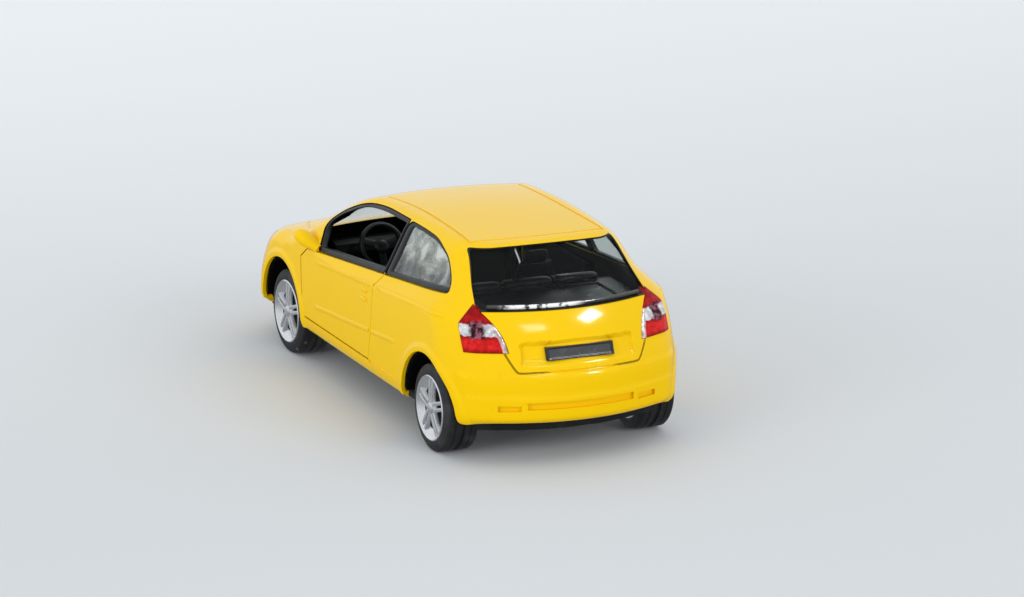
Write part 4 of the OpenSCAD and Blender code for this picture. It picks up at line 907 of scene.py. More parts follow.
def strip_path(start, end, count=60):
    """Rub strip line along the flank, rising towards the tail and sinking in at its two ends."""
    x = np.linspace(start, end, count)
    sink = 0.35 * (ease((x - (STRIP_FRONT - 1.4)) / 1.4) + ease((-23.0 - x) / 1.6))
    return on_flank(x, 13.9 + 3.6 * (x - STRIP_FRONT) / (STRIP_REAR - STRIP_FRONT), sink)


def crease_path(start, end, count=80):
    """Shoulder line along the flank, sinking in at its two ends."""
    x = np.linspace(start, end, count)
    t, fade = (x - start) / (end - start), 0.05
    sink = 0.15 * (1 - ease(t / fade) * ease((1 - t) / fade))
    return on_flank(x, crease(x) - TAIL_DROP * beyond(-x, TAIL_RUN), sink)


def wheel_hole(x, r):
    """Round opening of a wheel arch."""
    near, core = 15.0, 0.01
    profile = np.array([[core, near], [core, FAR_CUT], [r, FAR_CUT], [r, near]])
    return revolve(profile, (x, 0, AXLE_Z), 160)


def box(low, high):
    """Plain block between two corners, used for hidden cuts."""
    (a, near, low), (b, far, high) = low, high
    return prism(np.array([[a, low], [b, low], [b, high], [a, high]], float), near, far)


def along_x(loop, near, far):
    """Outline of y, z places drawn along the car."""
    points, faces = prism(loop, near, far)
    return outward(points[:, [1, 0, 2]], faces)


def tail_slot(near, far, z, height, depth):
    """Shallow slot in the bumper between two places across the car."""
    y, h = np.meshgrid(np.linspace(near, far, 40), np.linspace(z - height / 2, z + height / 2, 5), indexing="ij")
    q = np.stack([y, h], -1)
    return slab(to_rear(q, -1.0), to_rear(q, depth))


def twofold(path):
    """A path from the left to the middle line, carried on to the right."""
    return np.concatenate([path, (path * [1, -1, 1])[-2::-1]])


def painted_shell():
    """Outer form less the inner form, windows, doors, arches, lamps and panel lines."""
    line = bpy.context.scene.toy_sizes.panel_line / MM
    (door, door_r), (quarter, quarter_r) = window_corners()
    obj = make("painted_body", form(0, SILL_Z, 130, 84, 64, 64, 30), "car",
               [finish(k) for k in ("paint", "inside", "line")], ["body_shell"])
    roof = to_top(flowing([(5, 13.8), (-4, 13.3), (-14, 13.2), (-25, 13.4), (-34.4, 13.8)], 120))
    nose = to_top(flowing([(26.6, 20.6), (33, 18.8), (40, 16.5), (45, 13.6), (49, 9.5), (50.2, 5), (50.5, 0)], 90))
    cross = to_top(flowing([(-34.5, 13.7), (-35.5, 7), (-35.9, 0)], 50))
    gate = to_rear(flowing([(14.6, 21.8), (13.7, 20), (12.7, 18.4), (11.8, 18.0), (8, 18.05), (0, 18.1)], 60), 0.0)
    sill = on_flank(np.linspace(-11.3, -24.8, 40), np.full(40, 10.2))
    pillar_room = np.where(door < PILLAR_X + 0.6, [0.3, 0], 0)
    door_hole = rounded(moved(door, 0.15) - pillar_room, door_r + 0.15)
    quarter_cut = rounded(moved(quarter, 0.1), quarter_r + 0.1)
    front_well = box((FRONT_AXLE_X - 13.4, 12, 5), (FRONT_AXLE_X + 10, 22.9, 8.9))
    rear_well = box((REAR_AXLE_X - 10, 12, 5), (REAR_AXLE_X + 14.3, 23.2, 8.9))
    hinge_room = box((HINGE_X - 1.3, HINGE_Y - 2.6, 8.15), (HINGE_X + 1.3, HINGE_Y + 0.8, 10.6))
    carve(obj, form(WALL, -WALL, 40, 20, 16, 10, 10),
          both(prism(door_hole, NEAR_CUT, FAR_CUT)), both(prism(quarter_cut, NEAR_CUT, FAR_CUT)),
          both(prism(door_loop(0.26), 20.5, FAR_CUT)),
          *(both(cut(*arch)) for cut in (wheel_hole, arch_relief) for arch in (FRONT_ARCH, REAR_ARCH)),
          both(front_well), both(rear_well), both(lamp_hole(TAIL)), both(lamp_hole(HEAD)), lamp_hole(GRILLE),
          along_x(screen_outline(0), 2, 60), along_x(rear_outline(0), -70, -22), both(hinge_room),
          tail_slot(-10.9, 10.9, 11.7, 1.35, 0.6), both(tail_slot(12.0, 16.2, 11.3, 1.1, 0.6)),
          both(groove(roof, line)), groove(twofold(cross), line), groove(twofold(gate), 0.7 * line),
          groove(twofold(nose), line), both(groove(sill, line)))
    return polish(obj, twofold(gate))


def shell_trim():
    """Arch flares, the strips and creases behind the doors, and the wheel houses."""
    sizes = bpy.context.scene.toy_sizes
    solids = [arch_lip(*arch, sizes.flare / MM) for arch in (FRONT_ARCH, REAR_ARCH)]
    solids += [bead(strip_path(-12.8, STRIP_REAR), 1.0, sizes.strip / MM), bead(crease_path(-14.0, -43.5), *CREASE)]
    piece("arch_flares", both(gather(*solids)), "paint")
    # The wheel houses' near-black finish is painted shade inside the arches.
    piece("arch_liners", both(gather(*(arch_liner(*arch) for arch in (FRONT_ARCH, REAR_ARCH)))), "inside")


# Doors, mirrors and window frames

def knob(x, z, length, height, proud):
    """Half of a long egg lying on the flank: an ellipse outline raised as a dome."""
    a = angles(40)
    tip = np.linspace(np.pi / 2, 0.12, 10)[:, None]
    r, lift = np.sin(tip), proud * np.cos(tip)
    px, pz = x + r * length / 2 * np.cos(a), z + r * height / 2 * np.sin(a)
    return capped(np.concatenate([on_flank(px[:1], pz[:1], 0.3), on_flank(px, pz, -lift)]))


def door_skin(side, turn):
    """Door panel between its edges, sill line and belt: the flank's own half width, less the wall for its back."""
    u, v = np.meshgrid(np.linspace(0, 1, 131), np.linspace(0, 1, 71), indexing="ij")
    x, z = door_places(u, v)
    y = half_width(x, z)
    wall = 0.45 + 0.95 * ease((18.0 - x) / 1.2)
    panel = slab(np.stack([x, y, z], -1), np.stack([x, y - wall, z], -1))
    leaf = side + "_door_leaf"
    obj = make(side + "_door_skin", turn(panel), leaf, [finish("paint"), finish("inside")], [side + "_door"])
    # Painted shade: the door's back faces take the near-black second finish.
    back = read(obj.data.polygons, "normal", 3)[:, 1] * (1 if side == "left" else -1) < -0.5
    obj.data.polygons.foreach_set("material_index", back.astype(np.int32))
    bevelled(obj, 0.16)
    extras = [bead(strip_path(STRIP_FRONT, -11.3), 1.0, bpy.context.scene.toy_sizes.strip / MM),
              bead(crease_path(16.5, -12.4), *CREASE)]
    extras += [knob(-8.6, z, 3.2, 0.85, 0.42) for z in (23.7, 21.9)]
    piece(side + "_door_beads", turn(gather(*extras)), "paint", leaf, sharp=60)


def mirror_shell(side, turn):
    """Drop-shaped mirror: elliptical rings along a line from a broad foot on the door to a round head; the ring size
    eases up from the foot, then falls off as a circle."""
    a = angles(48)
    neck = 0.6
    t = np.concatenate([np.linspace(0, neck, 18), neck + 0.4 * np.sin(np.linspace(0, np.pi / 2, 20))[1:]])[:, None]
    dome = np.sqrt(np.maximum(1 - ((t - neck) / 0.4) ** 2, 0.0009))
    size = np.where(t < neck, 0.62 + 0.38 * ease(t / neck), dome)
    foot, head, half_wide, half_high = np.array([16.9, 23.3, 25.2]), np.array([22.6, 26.2, 27.75]), 1.75, 1.5
    axis = (head - foot) / np.linalg.norm(head - foot)
    wide = np.cross(axis, [0, 0, 1.0])
    wide /= np.linalg.norm(wide)
    high = np.cross(wide, axis)
    rings = (foot + t * (head - foot))[:, None] + (half_wide * size * np.cos(a))[..., None] * wide
    solid = capped(rings + (half_high * size * np.sin(a))[..., None] * high)
    piece(side + "_mirror_shell", turn(solid), "paint", side + "_door_leaf", side + "_mirror", 60)


# Shares across a window frame, from its outer edge, and depths below the paint
FRAME_SECTION = [(0, 0.42), (0.12, 0.24), (0.35, 0.16), (0.7, 0.18), (0.93, 0.3), (1, 0.5), (1, 1.15), (0, 1.15)]


def window_frame(side, turn):
    """Black frame round the door window and black trim round the quarter window, with a softly crowned section."""
    (door, door_r), (quarter, quarter_r) = window_corners()
    width = bpy.context.scene.toy_sizes.frame / MM
    inner = rounded(sill_up(moved(door, -width)), np.maximum(door_r - 0.5, 0.5))
    solid = ring(rounded(door, door_r), inner, to_side, FRAME_SECTION)
    piece(side + "_frame_moulding", turn(solid), "black", side + "_door_leaf", side + "_window_frame")
    solid = ring(rounded(quarter, quarter_r), quarter_hole(0.0), to_side, FRAME_SECTION)
    piece(side + "_quarter_moulding", turn(solid), "black", node=side + "_quarter_trim")


def sill_up(loop):
    """Lifts an inner window edge to leave a broader frame along its foot."""
    return np.stack([loop[:, 0], np.maximum(loop[:, 1], belt(loop[:, 0]) + 0.95)], -1)


def quarter_hole(grow):
    """Inner edge of the quarter window trim, held back by the pillar."""
    quarter, radii = window_corners()[1]
    inner = sill_up(moved(quarter, -0.75 * bpy.context.scene.toy_sizes.frame / MM))
    inner[:, 0] = np.minimum(inner[:, 0], PILLAR_X - 2.3)
    return rounded(moved(inner, -grow), np.maximum(radii - 0.5, 0.5))


def plain(solid):
    """The solid as it is."""
    return solid


SIDES = (("left", plain), ("right", mirrored))


# Clear moulding

def glazing():
    """Windscreen, rear window and quarter panes of one clear moulding, with a black edge round the rear window."""
    sizes = bpy.context.scene.toy_sizes
    depth, edge, thick, play = sizes.glass / MM, sizes.gasket / MM, 0.6, 0.06
    screen = patch(screen_outline(play), to_front, depth, depth + thick, 14)
    piece("windscreen_pane", screen, "windscreen", node="window_glazing")
    piece("rear_pane", patch(rear_outline(play), to_rear, depth, depth + thick, 14), "clear")
    pane = patch(quarter_hole(-play), to_side, 0.55, 1.1)
    for (side, turn), key in zip(SIDES, ("cloudy", "clear")):
        piece(side + "_quarter_pane", turn(pane), key)
    section = [(0, 0.25), (0.5, 0.12), (1, 0.3), (1, 1.3), (0, 1.3)]
    piece("rear_gasket", ring(rear_outline(0.02), rear_outline(edge), to_rear, section), "black")
    y = 16.8 * np.linspace(-0.93, 0.93, 60)
    lip = to_rear(np.stack([y, np.full(60, GLASS_FOOT + 0.75)], -1), 0.2)
    piece("glass_lip", sweep(lip, slope(lip), circle(0.42, 14)), "lip", sharp=60)


# Lamps, grille and plate

def lamp_piece(name, lamp, turn, key, node, origin):
    """Lens over a four-cornered pocket, a little proud of the paint, with a map along the lamp and in height."""
    face, q = lamp_grid(*lamp, -0.2, 31)
    back, _ = lamp_grid(*lamp, 1.3, 31)
    uv = np.concatenate([((q - origin) / 10).reshape(-1, 2)] * 2)
    return bevelled(make(name, turn(slab(face, back)), "car", finish(key), [node], uv), 0.22)


def grille():
    """Black grille with rounded bars: the depth follows a cosine of the height."""
    count, bars, (left, high), (right, low) = 61, 4, GRILLE[1][0], GRILLE[1][2]
    lift = np.linspace(0, 1, count)
    wave = 0.25 + 0.35 * (1 - np.cos(2 * np.pi * bars * lift)) / 2
    u, v = np.meshgrid(np.linspace(left, right, count), low + (high - low) * lift, indexing="ij")
    face = to_front(np.stack([u, v], -1), 0.0)
    out = slope(face)
    solid = slab(face - wave[None, :, None] * out, face - 2.0 * out)
    piece("grille_bars", solid, "black", node="front_grille", sharp=60)


def plate():
    """Bare plate leaning with the tailgate: a flat field inside a raised rounded border."""
    wide, tall, mid = 6.9, 1.25, 21.3
    y, h = np.meshgrid(np.linspace(-wide, wide, 93), np.linspace(-tall, tall, 33), indexing="ij")
    low, high = float(rear_face(0.0, mid - tall)), float(rear_face(0.0, mid + tall))
    lean = math.atan2(high - low, 2 * tall)
    rim = np.maximum(ease((np.abs(y) - 6.3) / 0.25), ease((np.abs(h) - 0.8) / 0.2))
    out = 0.1 + 0.16 * rim - 0.1 * ease((np.abs(y) - (wide - 0.15)) / 0.15)
    x = (low + high) / 2 - out + 0.05
    face = np.stack([x + h * math.sin(lean), y, mid + h * math.cos(lean)], -1)
    back = face + np.array([0.5, 0, 0]) + np.stack([out, 0 * out, 0 * out], -1)
    uv = np.concatenate([np.stack([y, h], -1).reshape(-1, 2) / 10] * 2)
    piece("bare_plate", slab(face, back), "plate", node="number_plate", sharp=60, uv=uv)


# Wheels

def spoke(turn, offset):
    """Tapered spoke with a crowned section from the hub to the rim, beside a radius by an offset that opens out."""
    count, hub_r, reach_r, root = 12, 1.2, 4.55, -1.0
    t = np.linspace(0, 1, count)
    r, y = hub_r + reach_r * t, 3.4 + 0.05 * np.sin(np.pi * t) - 0.1 * t
    side = offset * (0.9 + 0.1 * t)
    c, s = math.cos(turn), math.sin(turn)
    path = np.stack([r * c - side * s, y, r * s + side * c], -1)
    half = (0.44 - 0.06 * np.sin(np.pi * t))[:, None, None]
    side_half = np.array([[0.4, 0.04], [0.85, 0], [1, -0.12], [1, root]])
    section = np.concatenate([side_half[::-1] * [-1, 1], side_half])
    return sweep(path, np.broadcast_to([0, 1.0, 0], path.shape), section * np.concatenate([half, 0 * half + 1], -1))


def rim_solids():
    """Barrel with a rolled lip, hub with a cap, five pairs of spokes, and behind them a dark round backing that is
    painted shade between the spokes.
    """
    barrel = revolve(np.array([[6.33, -3.45], [6.33, 3.2], [6.3, 3.5], [6.12, 3.66], [5.86, 3.6], [5.62, 3.3],
                               [5.0, 2.95], [4.4, 2.78], [4.2, 2.6], [4.2, -3.45]]), (0, 0, 0), 120)
    hub = revolve(np.array([[0.01, 3.62], [0.7, 3.6], [1.0, 3.5], [1.06, 3.36], [1.6, 3.32], [1.85, 3.16],
                            [1.95, 2.8], [2.0, 0.4], [0.01, 0.4]]), (0, 0, 0), 72)
    turns = np.radians(90 + 72 * np.arange(5))
    spokes = [spoke(a, o) for a in turns for o in (-0.64, 0.64)]
    # Painted shade: a near-black round backing behind the spokes stands in for the shade between them.
    painted_shade_backing = revolve(np.array([[0.01, 2.66], [4.25, 2.66], [4.25, -0.6], [0.01, -0.6]]), (0, 0, 0), 96)
    return gather(barrel, hub, *spokes), painted_shade_backing


def tyre_solid():
    """Tyre turned from a section with a nearly flat sidewall, tight shoulders, a centre groove and two fine rings."""
    t = np.linspace(0, 1, 9)
    wall = np.stack([6.3 + 1.5 * t, 3.45 + 0.1 * np.sin(np.pi * t) - 0.25 * t], -1)
    bend = np.radians(np.linspace(90, 0, 9))
    shoulder = np.stack([7.8 + 0.6 * np.cos(bend), 2.6 + 0.6 * np.sin(bend)], -1)
    r, deep = AXLE_Z, bpy.context.scene.toy_sizes.tread / MM
    tread = np.array([[r, 1.75], [r - 0.06, 1.7], [r - 0.18, 1.62], [r - 0.06, 1.54], [r, 1.48],
                      [r, 0.42], [r - deep * 0.5, 0.36], [r - deep, 0.28]])
    half = np.concatenate([wall, shoulder[1:], tread])
    return revolve(np.concatenate([half, half[::-1] * [1, -1]]), (0, 0, 0), 144)


def wheels():
    """Rims and tyres on both axles."""
    rim, painted_shade_backing = rim_solids()
    tyre = tyre_solid()
    for end, x in (("front", FRONT_AXLE_X), ("rear", REAR_AXLE_X)):
        for side, turn in SIDES:
            hub, name, body = [x, WHEEL_Y, AXLE_Z], end + "_" + side, end + "_wheels"
            faces = [turn(shifted(solid, hub)) for solid in (rim, painted_shade_backing)]
            piece(name + "_wheel_face", faces, "rim inside", body, name + "_rim", 40)
            piece(name + "_tyre_skin", turn(shifted(tyre, hub)), "tyre", body, name + "_tyre", 40)


# Cabin

def pillow(path, width, thick):
    """Rounded moulding along a path in side view: superellipse sections that shrink to round ends."""
    rows, count, power = 26, 40, 2.8
    line = flowing(path, rows)
    t, stops = np.linspace(0, 1, rows), np.linspace(0, 1, len(path))
    w, h = (np.interp(t, stops, np.broadcast_to(v, len(path))) / 2 for v in (width, thick))
    ends = (1 - np.abs(2 * t - 1) ** 6) ** 0.5
    step = np.gradient(line, axis=0)
    step /= np.linalg.norm(step, axis=1, keepdims=True)
    a = angles(count)
    c, s = np.cos(a), np.sin(a)
    k = (np.abs(c) ** power + np.abs(s) ** power) ** (-1 / power)
    rise = (h * np.maximum(ends, 0.12))[:, None] * k * s
    return capped(np.stack([line[:, :1] - step[:, 1:] * rise, (w * (0.86 + 0.14 * ends))[:, None] * k * c,
                            line[:, 1:] + step[:, :1] * rise], -1))


def seat():
    """Front seat: cushion, back with side bolsters and a small head rest."""
    bolster = pillow([(-9.5, 14.6), (-10.6, 18), (-11.6, 22.5)], 1.8, [3.6, 3.8, 2.6])
    bolsters = [shifted(bolster, [0, y, 0]) for y in (-3.9, 3.9)]
    return gather(pillow([(-10.5, 11.4), (-5, 11.6), (3.8, 12.4)], 9.2, [4.2, 3.8, 4.4]),
                  pillow([(-9.8, 12.5), (-11.2, 19), (-12.7, 27.2)], [9.2, 9.2, 7.4], [3.6, 3.0, 2.0]),
                  pillow([(-12.6, 26.6), (-12.9, 28.2), (-13.0, 29.3)], [4.2, 4.8, 4.4], 1.7), *bolsters)


def shelf():
    """Parcel shelf cover: a flat panel whose height drops by smooth steps into a broad shallow tray."""
    rear, front, foot, wall, edge = -46.7, -31.4, 27.41, 0.7, 0.5
    x, y = np.meshgrid(np.linspace(rear, front, 110), np.linspace(-1, 1, 150), indexing="ij")
    half = np.minimum(17.8, 14.6 + (x - rear))
    y = y * half
    tray = ease((x + 42.8) / wall) * ease((-33.4 - x) / wall) * ease((13.6 - np.abs(y)) / wall)
    crest = ease((x - rear) / edge) * ease((half - np.abs(y)) / edge)
    top = foot + 0.04 + 0.35 * crest - 0.3 * tray
    return slab(np.stack([x, y, top], -1), np.stack([x, y, 0 * x + foot], -1))


def rests():
    """Row of three head rests along the top of the rear bench, the middle one wider: superellipse sections that
    shrink with a high power towards both ends."""
    a = angles(28)
    c, s = np.cos(a), np.sin(a)
    k = (np.abs(c) ** 3 + np.abs(s) ** 3) ** (-1 / 3)
    section = np.stack([1.35 * k * c, 0.05 + 0.78 * k * s], -1)
    t = np.linspace(-1, 1, 30)[:, None]
    rings = np.array([-30.1, 28.1]) + (1 - np.abs(t) ** 14 * 0.8)[..., None] * section
    spans = ((-14.8, -5.6), (-5.2, 5.2), (5.6, 14.8))
    rows = [(low + high) / 2 + (high - low) / 2 * t + 0 * c for low, high in spans]
    return gather(*(capped(np.stack([rings[..., 0], y, rings[..., 1]], -1)) for y in rows))


def steering():
    """Steering wheel: a round rim, three flat spokes and a boss, tilted on its column."""
    tilt, mid = math.radians(24), np.array([17.6, SEAT_Y, 24.4])
    across, up = np.array([0, 1.0, 0]), np.array([math.sin(tilt), 0, math.cos(tilt)])
    out = np.array([-math.cos(tilt), 0, math.sin(tilt)])

    def around(r, count, lift=0.0):
        """Places round the column at a radius, lifted along it."""
        a = angles(count)[:, None]
        return mid + r * (np.cos(a) * across + np.sin(a) * up) + lift * out

    path = around(4.3, 72)
    solids = [sweep(path, np.broadcast_to(out, path.shape), circle(0.5, 14), closed=True)]
    bar = rounded([(-0.7, -0.2), (0.7, -0.2), (0.7, 0.2), (-0.7, 0.2)], 0.15, 4, 2)
    for turn in np.radians([-90, 20, 160]):
        way = math.cos(turn) * across + math.sin(turn) * up
        line = mid + np.linspace(0.6, 4.2, 8)[:, None] * way - 0.25 * out
        solids.append(sweep(line, np.broadcast_to(out, line.shape), bar))
    boss, column = [(1.5, -0.5), (1.6, 0.0), (1.3, 0.3), (0.7, 0.42)], [(0.5, -2.4), (0.5, 0.0)]
    solids += [capped(np.stack([around(r, 40, lift) for r, lift in rings])) for rings in (boss, column)]
    return gather(*solids)


def cabin():
    """Seats, steering wheel, parcel shelf cover and rear head rests."""
    solid = seat()
    for name, y in (("driver_seat", SEAT_Y), ("passenger_seat", -SEAT_Y)):
        piece(name + "_moulding", shifted(solid, [0, y, 0]), "cabin", node=name, sharp=60)
    piece("steering_rim", steering(), "black", node="steering_wheel")
    piece("shelf_cover", shelf(), "shelf", sharp=40)
    piece("rear_rests", rests(), "shelf")


KEPT = {"chassis": "underside", "interior_tub": "cabin", "dashboard": "cabin", "front_screw": "steel",
        "rear_screw": "steel", "left_door_trim": "cabin", "right_door_trim": "cabin", "left_hinge_pin": "steel",
        "right_hinge_pin": "steel", "front_axle": "steel", "rear_axle": "steel"}


def kept_nodes():
    """Finishes for the solids that are shown as they are."""
    for node, key in KEPT.items():
        obj = frame["nodes"][node]
        obj.data.materials.clear()
        obj.data.materials.append(finish(key))


# Finishes by name

def finish(key):
    """The named finish, made once from the chosen colours."""
    name, c = "toy_" + key, bpy.context.scene.toy_colours
    makers = {
        "paint": lambda: paint_finish(name, c.paint),
        # Darker paint for the tailgate line's groove: painted shade.
        "line": lambda: paint_finish(name, shade(c.paint, 0.4)),
        "clear": lambda: glass_finish(name, c.glass, 0.2),
        "cloudy": lambda: glass_finish(name, c.glass, 1.4, ripple=1.0, cloud=0.9),
        "windscreen": lambda: glass_finish(name, c.glass, 0.4, haze=0.95),
        "lip": lambda: lip_finish(name),
        "tail": lambda: tail_finish(name, c.red_lens, c.clear_lens),
        "head": lambda: head_finish(name, c.clear_lens),
        "rim": lambda: metal_finish(name, c.rim, 0.26, 260, 0.8),
        "steel": lambda: metal_finish(name, c.steel, 0.35, 1400),
        "tyre": lambda: tyre_finish(name, c.tyre),
        "plate": lambda: plate_finish(name, c.black, c.plate),
        # Near-black finish for inner faces, cut walls, door backs, wheel houses and the backing behind the spokes:
        # painted shade.
        "inside": lambda: plastic_finish(name, shade(c.cabin, 0.7), 0.6, 1500, 0.2, 0.08),
        "shelf": lambda: plastic_finish(name, c.cabin, 0.3, 2200, 0.3, 0.45),
        "cabin": lambda: plastic_finish(name, c.cabin, 0.4, 2200, 0.3, 0.12),
        "black": lambda: plastic_finish(name, c.black, 0.38),
        "underside": lambda: plastic_finish(name, c.black, 0.55),
    }
    return bpy.data.materials.get(name) or makers[key]()


# Stage

def floor_finish():
    """Matt paper: pale grey with faint cloudiness, painted lighter towards the back as painted light."""
    f = Finish("studio_paper", (0.8, 0.81, 0.83), 0.9, specular_ior_level=0.1)
    near = f.mix(f.noise(3, 2).rise(0.3, 0.7), (0.665, 0.685, 0.7), (0.69, 0.705, 0.72))
    # Painted light: the paper's colour rises towards the back to stand in for the brighter backdrop.
    f.set(base_color=f.mix(f.parts(f.place)[0].rise(-0.08, 0.42), near, (0.91, 0.92, 0.935)))
    return f.material


def lamp_light(name, place, aim, size, power, unseen):
    """Rectangular soft light at a place, turned to an aim, with one kind of ray that doesn't see it."""
    data = bpy.data.lights.new(name, "AREA")
    data.shape, data.size, data.size_y, data.energy = "RECTANGLE", size[0], size[1], power
    obj = bpy.data.objects.new(name, data)
    bpy.context.scene.collection.objects.link(obj)
    obj.location = place
    obj.rotation_euler = (Vector(aim) - Vector(place)).to_track_quat("-Z", "Y").to_euler()
    setattr(obj, unseen, False)


def sweep_paper():
    """Paper floor that curves up into a wall behind the car as a quarter circle."""
    half, start, r = 2.5, 1.6, 0.7
    s = np.linspace(0, np.pi / 2, 60)[1:]
    x = np.concatenate([np.linspace(-half, start, 40), start + r * np.sin(s)])
    z = np.concatenate([np.zeros(40), r * (1 - np.cos(s))])
    y = np.linspace(-half, half, 30)
    points = np.stack(np.broadcast_arrays(x[:, None], y, z[:, None]), -1) / MM
    paper = make("paper_sweep", (points.reshape(-1, 3), grid_faces(len(x), len(y))), None, floor_finish())
    paper.visible_glossy = False


def room(brightness):
    """Pale room round the paper, brighter ahead of the car and dim below its height."""
    world = bpy.data.worlds.new("studio_room")
    bpy.context.scene.world = world
    world.use_nodes = True
    n = Nodes(world.node_tree)
    x, _, z = n.parts(n.node("ShaderNodeTexCoord", out="Generated"))
    level = z.rise(-0.35, 0.02, 0.25, 1.0) * x.rise(-0.9, 0.7, 0.8, 1.1) * brightness
    back = n.node("ShaderNodeBackground", {}, {"Color": (0.93, 0.97, 1.0, 1), "Strength": level})
    n.node("ShaderNodeOutputWorld", {}, {"Surface": back}, None)


def studio():
    """Paper sweep, soft lights, room and camera."""
    sweep_paper()
    look = bpy.context.scene.toy_studio
    foot, middle, soft = (0, 0, 0.01), (-0.05, 0, 0.025), (1.0, 0.8)
    lamp_light("key", (-1.45, -0.6, 0.66), foot, soft, look.key, "visible_glossy")
    lamp_light("fill", (-0.6, 1.53, 0.44), foot, soft, look.fill, "visible_glossy")
    lamp_light("window_left", (-0.825, -0.081, 1.067), middle, (0.24, 0.15), look.window * 0.12, "visible_diffuse")
    lamp_light("window_right", (-0.554, -0.677, 1.019), middle, (0.24, 0.16), look.window * 0.65, "visible_diffuse")
    room(look.room)
    camera()
    bpy.context.scene.view_settings.view_transform = "Standard"


def camera():
    """Long lens from behind and above the left side, turned a little about its axis."""
    yaw, pitch, roll = (math.radians(a) for a in (-24.27, -15.62, 0.77))
    aim, distance = Vector((-0.0031, -0.00919, 0.01703)), 1.1071
    d = Vector((math.cos(pitch) * math.cos(yaw), math.cos(pitch) * math.sin(yaw), math.sin(pitch)))
    right = d.cross(Vector((0, 0, 1))).normalized()
    up = right.cross(d)
    right, up = math.cos(roll) * right + math.sin(roll) * up, math.cos(roll) * up - math.sin(roll) * right
    data = bpy.data.cameras.new("photo_camera")
    data.lens, data.sensor_width, data.sensor_fit = 198.6, 36.0, "HORIZONTAL"
    data.clip_start, data.clip_end = 0.01, 20
    obj = bpy.data.objects.new("photo_camera", data)
    bpy.context.scene.collection.objects.link(obj)
    obj.matrix_world = Matrix.Translation(aim - distance * d) @ Matrix((right, up, -d)).transposed().to_4x4()
    bpy.context.scene.camera = obj


# Settings, operators and panel

def length(name, description, size):
    """A length setting given in millimetres."""
    return bpy.props.FloatProperty(name=name, description=description, default=size * MM, min=0, precision=5,
                                   unit="LENGTH")


def colour(name, description, value):
    """A colour setting."""
    return bpy.props.FloatVectorProperty(name=name, description=description, default=value, min=0, max=1, size=3,
                                         subtype="COLOR")


def power(name, description, value, unit="POWER"):
    """A light setting."""
    return bpy.props.FloatProperty(name=name, description=description, default=value, min=0, unit=unit)


class ToySizes(bpy.types.PropertyGroup):
    """Sizes of the visible details."""
    panel_line: length("Panel line", "Radius of the panel lines", 0.3)
    flare: length("Arch flare", "How far the wheel arch flares stand proud", 0.3)
    strip: length("Rub strip", "How far the rub strips stand proud", 0.2)
    frame: length("Window frame", "Width of the black window frames", 0.7)
    glass: length("Glass depth", "Depth of the clear moulding below the paint", 0.35)
    gasket: length("Gasket", "Width of the black edge round the rear window", 0.28)
    tread: length("Tread groove", "Depth of the tyres' centre groove", 0.4)


class ToyColours(bpy.types.PropertyGroup):
    """Colours of the finishes."""
    paint: colour("Paint", "Enamel of the body, doors and mirrors", (0.93, 0.575, 0.001))
    black: colour("Black plastic", "Window frames, grille and underside", (0.006, 0.006, 0.007))
    cabin: colour("Cabin", "Seats, dashboard and shelf", (0.005, 0.005, 0.005))
    glass: colour("Glass", "Tint of the clear moulding", (0.86, 0.88, 0.87))
    red_lens: colour("Red lens", "Tail lamp caps and blocks", (0.42, 0.004, 0.006))
    clear_lens: colour("Clear lens", "Silvered bands and headlamps", (0.8, 0.8, 0.82))
    rim: colour("Rim", "Silver of the wheel rims", (0.7, 0.71, 0.73))
    steel: colour("Steel", "Axles, pins and screws", (0.5, 0.5, 0.5))
    tyre: colour("Tyre", "Vinyl of the tyres", (0.016, 0.016, 0.017))
    plate: colour("Plate", "Field of the bare plate", (0.035, 0.035, 0.038))


class ToyStudio(bpy.types.PropertyGroup):
    """Strength of the lights."""
    key: power("Key", "Power of the soft light behind the camera, on its right", 7.4)
    fill: power("Fill", "Power of the soft light on the left", 8.6)
    window: power("Windows", "Power of each window-like light, seen in shiny surfaces only", 16.0)
    room: power("Room", "Brightness of the room", 0.9, "NONE")


class TOY_OT_body(bpy.types.Operator):
    """Builds the painted shell and its arch flares"""
    bl_idname = "toy.body"
    bl_label = "Painted body"

    def execute(self, context):
        painted_shell()
        shell_trim()
        return {"FINISHED"}


class TOY_OT_doors(bpy.types.Operator):
    """Builds both doors with their mirrors and the window frames"""
    bl_idname = "toy.doors"
    bl_label = "Doors, mirrors and frames"

    def execute(self, context):
        for side, turn in SIDES:
            door_skin(side, turn)
            mirror_shell(side, turn)
            window_frame(side, turn)
        return {"FINISHED"}


class TOY_OT_glazing(bpy.types.Operator):
    """Builds the clear moulding"""
    bl_idname = "toy.glazing"
    bl_label = "Glazing"

    def execute(self, context):
        glazing()
        return {"FINISHED"}


class TOY_OT_lamps(bpy.types.Operator):
    """Builds the lamps, the grille and the bare plate"""
    bl_idname = "toy.lamps"
    bl_label = "Lamps, grille and plate"

    def execute(self, context):
        for side, turn in SIDES:
            lamp_piece(side + "_tail_lens", TAIL, turn, "tail", side + "_tail_light", (17.6, 21.7))
            lamp_piece(side + "_head_lens", HEAD, turn, "head", side + "_headlight", (-28, 17.8))
        grille()
        plate()
        return {"FINISHED"}


class TOY_OT_wheels(bpy.types.Operator):
    """Builds rims and tyres"""
    bl_idname = "toy.wheels"
    bl_label = "Wheels"

    def execute(self, context):
        wheels()
        return {"FINISHED"}


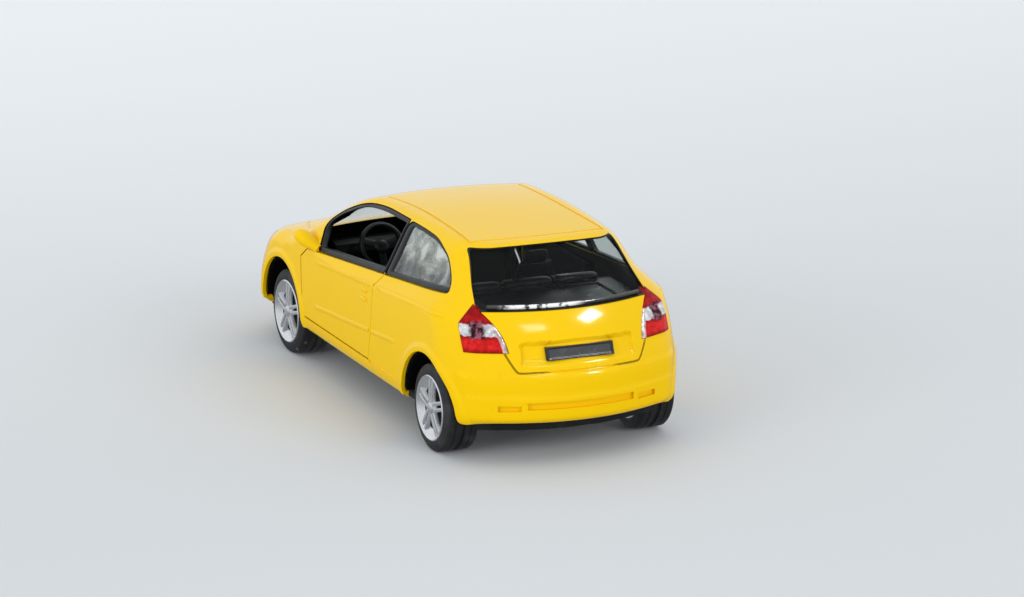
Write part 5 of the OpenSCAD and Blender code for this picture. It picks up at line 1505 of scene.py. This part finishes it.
class TOY_OT_cabin(bpy.types.Operator):
    """Builds the seats, steering wheel and parcel shelf"""
    bl_idname = "toy.cabin"
    bl_label = "Cabin"

    def execute(self, context):
        cabin()
        return {"FINISHED"}


class TOY_OT_kept(bpy.types.Operator):
    """Gives the solids that stay on show their finishes"""
    bl_idname = "toy.kept"
    bl_label = "Chassis and fittings"

    def execute(self, context):
        kept_nodes()
        return {"FINISHED"}


class TOY_OT_stage(bpy.types.Operator):
    """Sets up the paper sweep, lights and camera"""
    bl_idname = "toy.stage"
    bl_label = "Studio"

    def execute(self, context):
        studio()
        return {"FINISHED"}


OPERATORS = (TOY_OT_body, TOY_OT_doors, TOY_OT_glazing, TOY_OT_lamps, TOY_OT_wheels, TOY_OT_cabin, TOY_OT_kept,
             TOY_OT_stage)


class TOY_PT_panel(bpy.types.Panel):
    """Lists the steps and settings in the 3D view's sidebar"""
    bl_idname = "TOY_PT_panel"
    bl_label = "Toy car"
    bl_space_type = "VIEW_3D"
    bl_region_type = "UI"
    bl_category = "Toy car"

    def draw(self, context):
        for kind in OPERATORS:
            self.layout.operator(kind.bl_idname)
        for group in (context.scene.toy_sizes, context.scene.toy_colours, context.scene.toy_studio):
            for key in group.bl_rna.properties.keys():
                if key not in ("rna_type", "name"):
                    self.layout.prop(group, key)


GROUPS = {"toy_sizes": ToySizes, "toy_colours": ToyColours, "toy_studio": ToyStudio}
CLASSES = tuple(GROUPS.values()) + OPERATORS + (TOY_PT_panel,)


def register():
    """Adds the settings, operators and panel."""
    for kind in CLASSES:
        bpy.utils.register_class(kind)
    for key, kind in GROUPS.items():
        setattr(bpy.types.Scene, key, bpy.props.PointerProperty(type=kind))


def unregister():
    """Takes the settings, operators and panel away."""
    for key in GROUPS:
        delattr(bpy.types.Scene, key)
    for kind in reversed(CLASSES):
        bpy.utils.unregister_class(kind)


def main():
    """Builds every piece and the stage in order."""
    register()
    for step in (bpy.ops.toy.body, bpy.ops.toy.doors, bpy.ops.toy.glazing, bpy.ops.toy.lamps, bpy.ops.toy.wheels,
                 bpy.ops.toy.cabin, bpy.ops.toy.kept, bpy.ops.toy.stage):
        step()


if __name__ == "__main__":
    main()
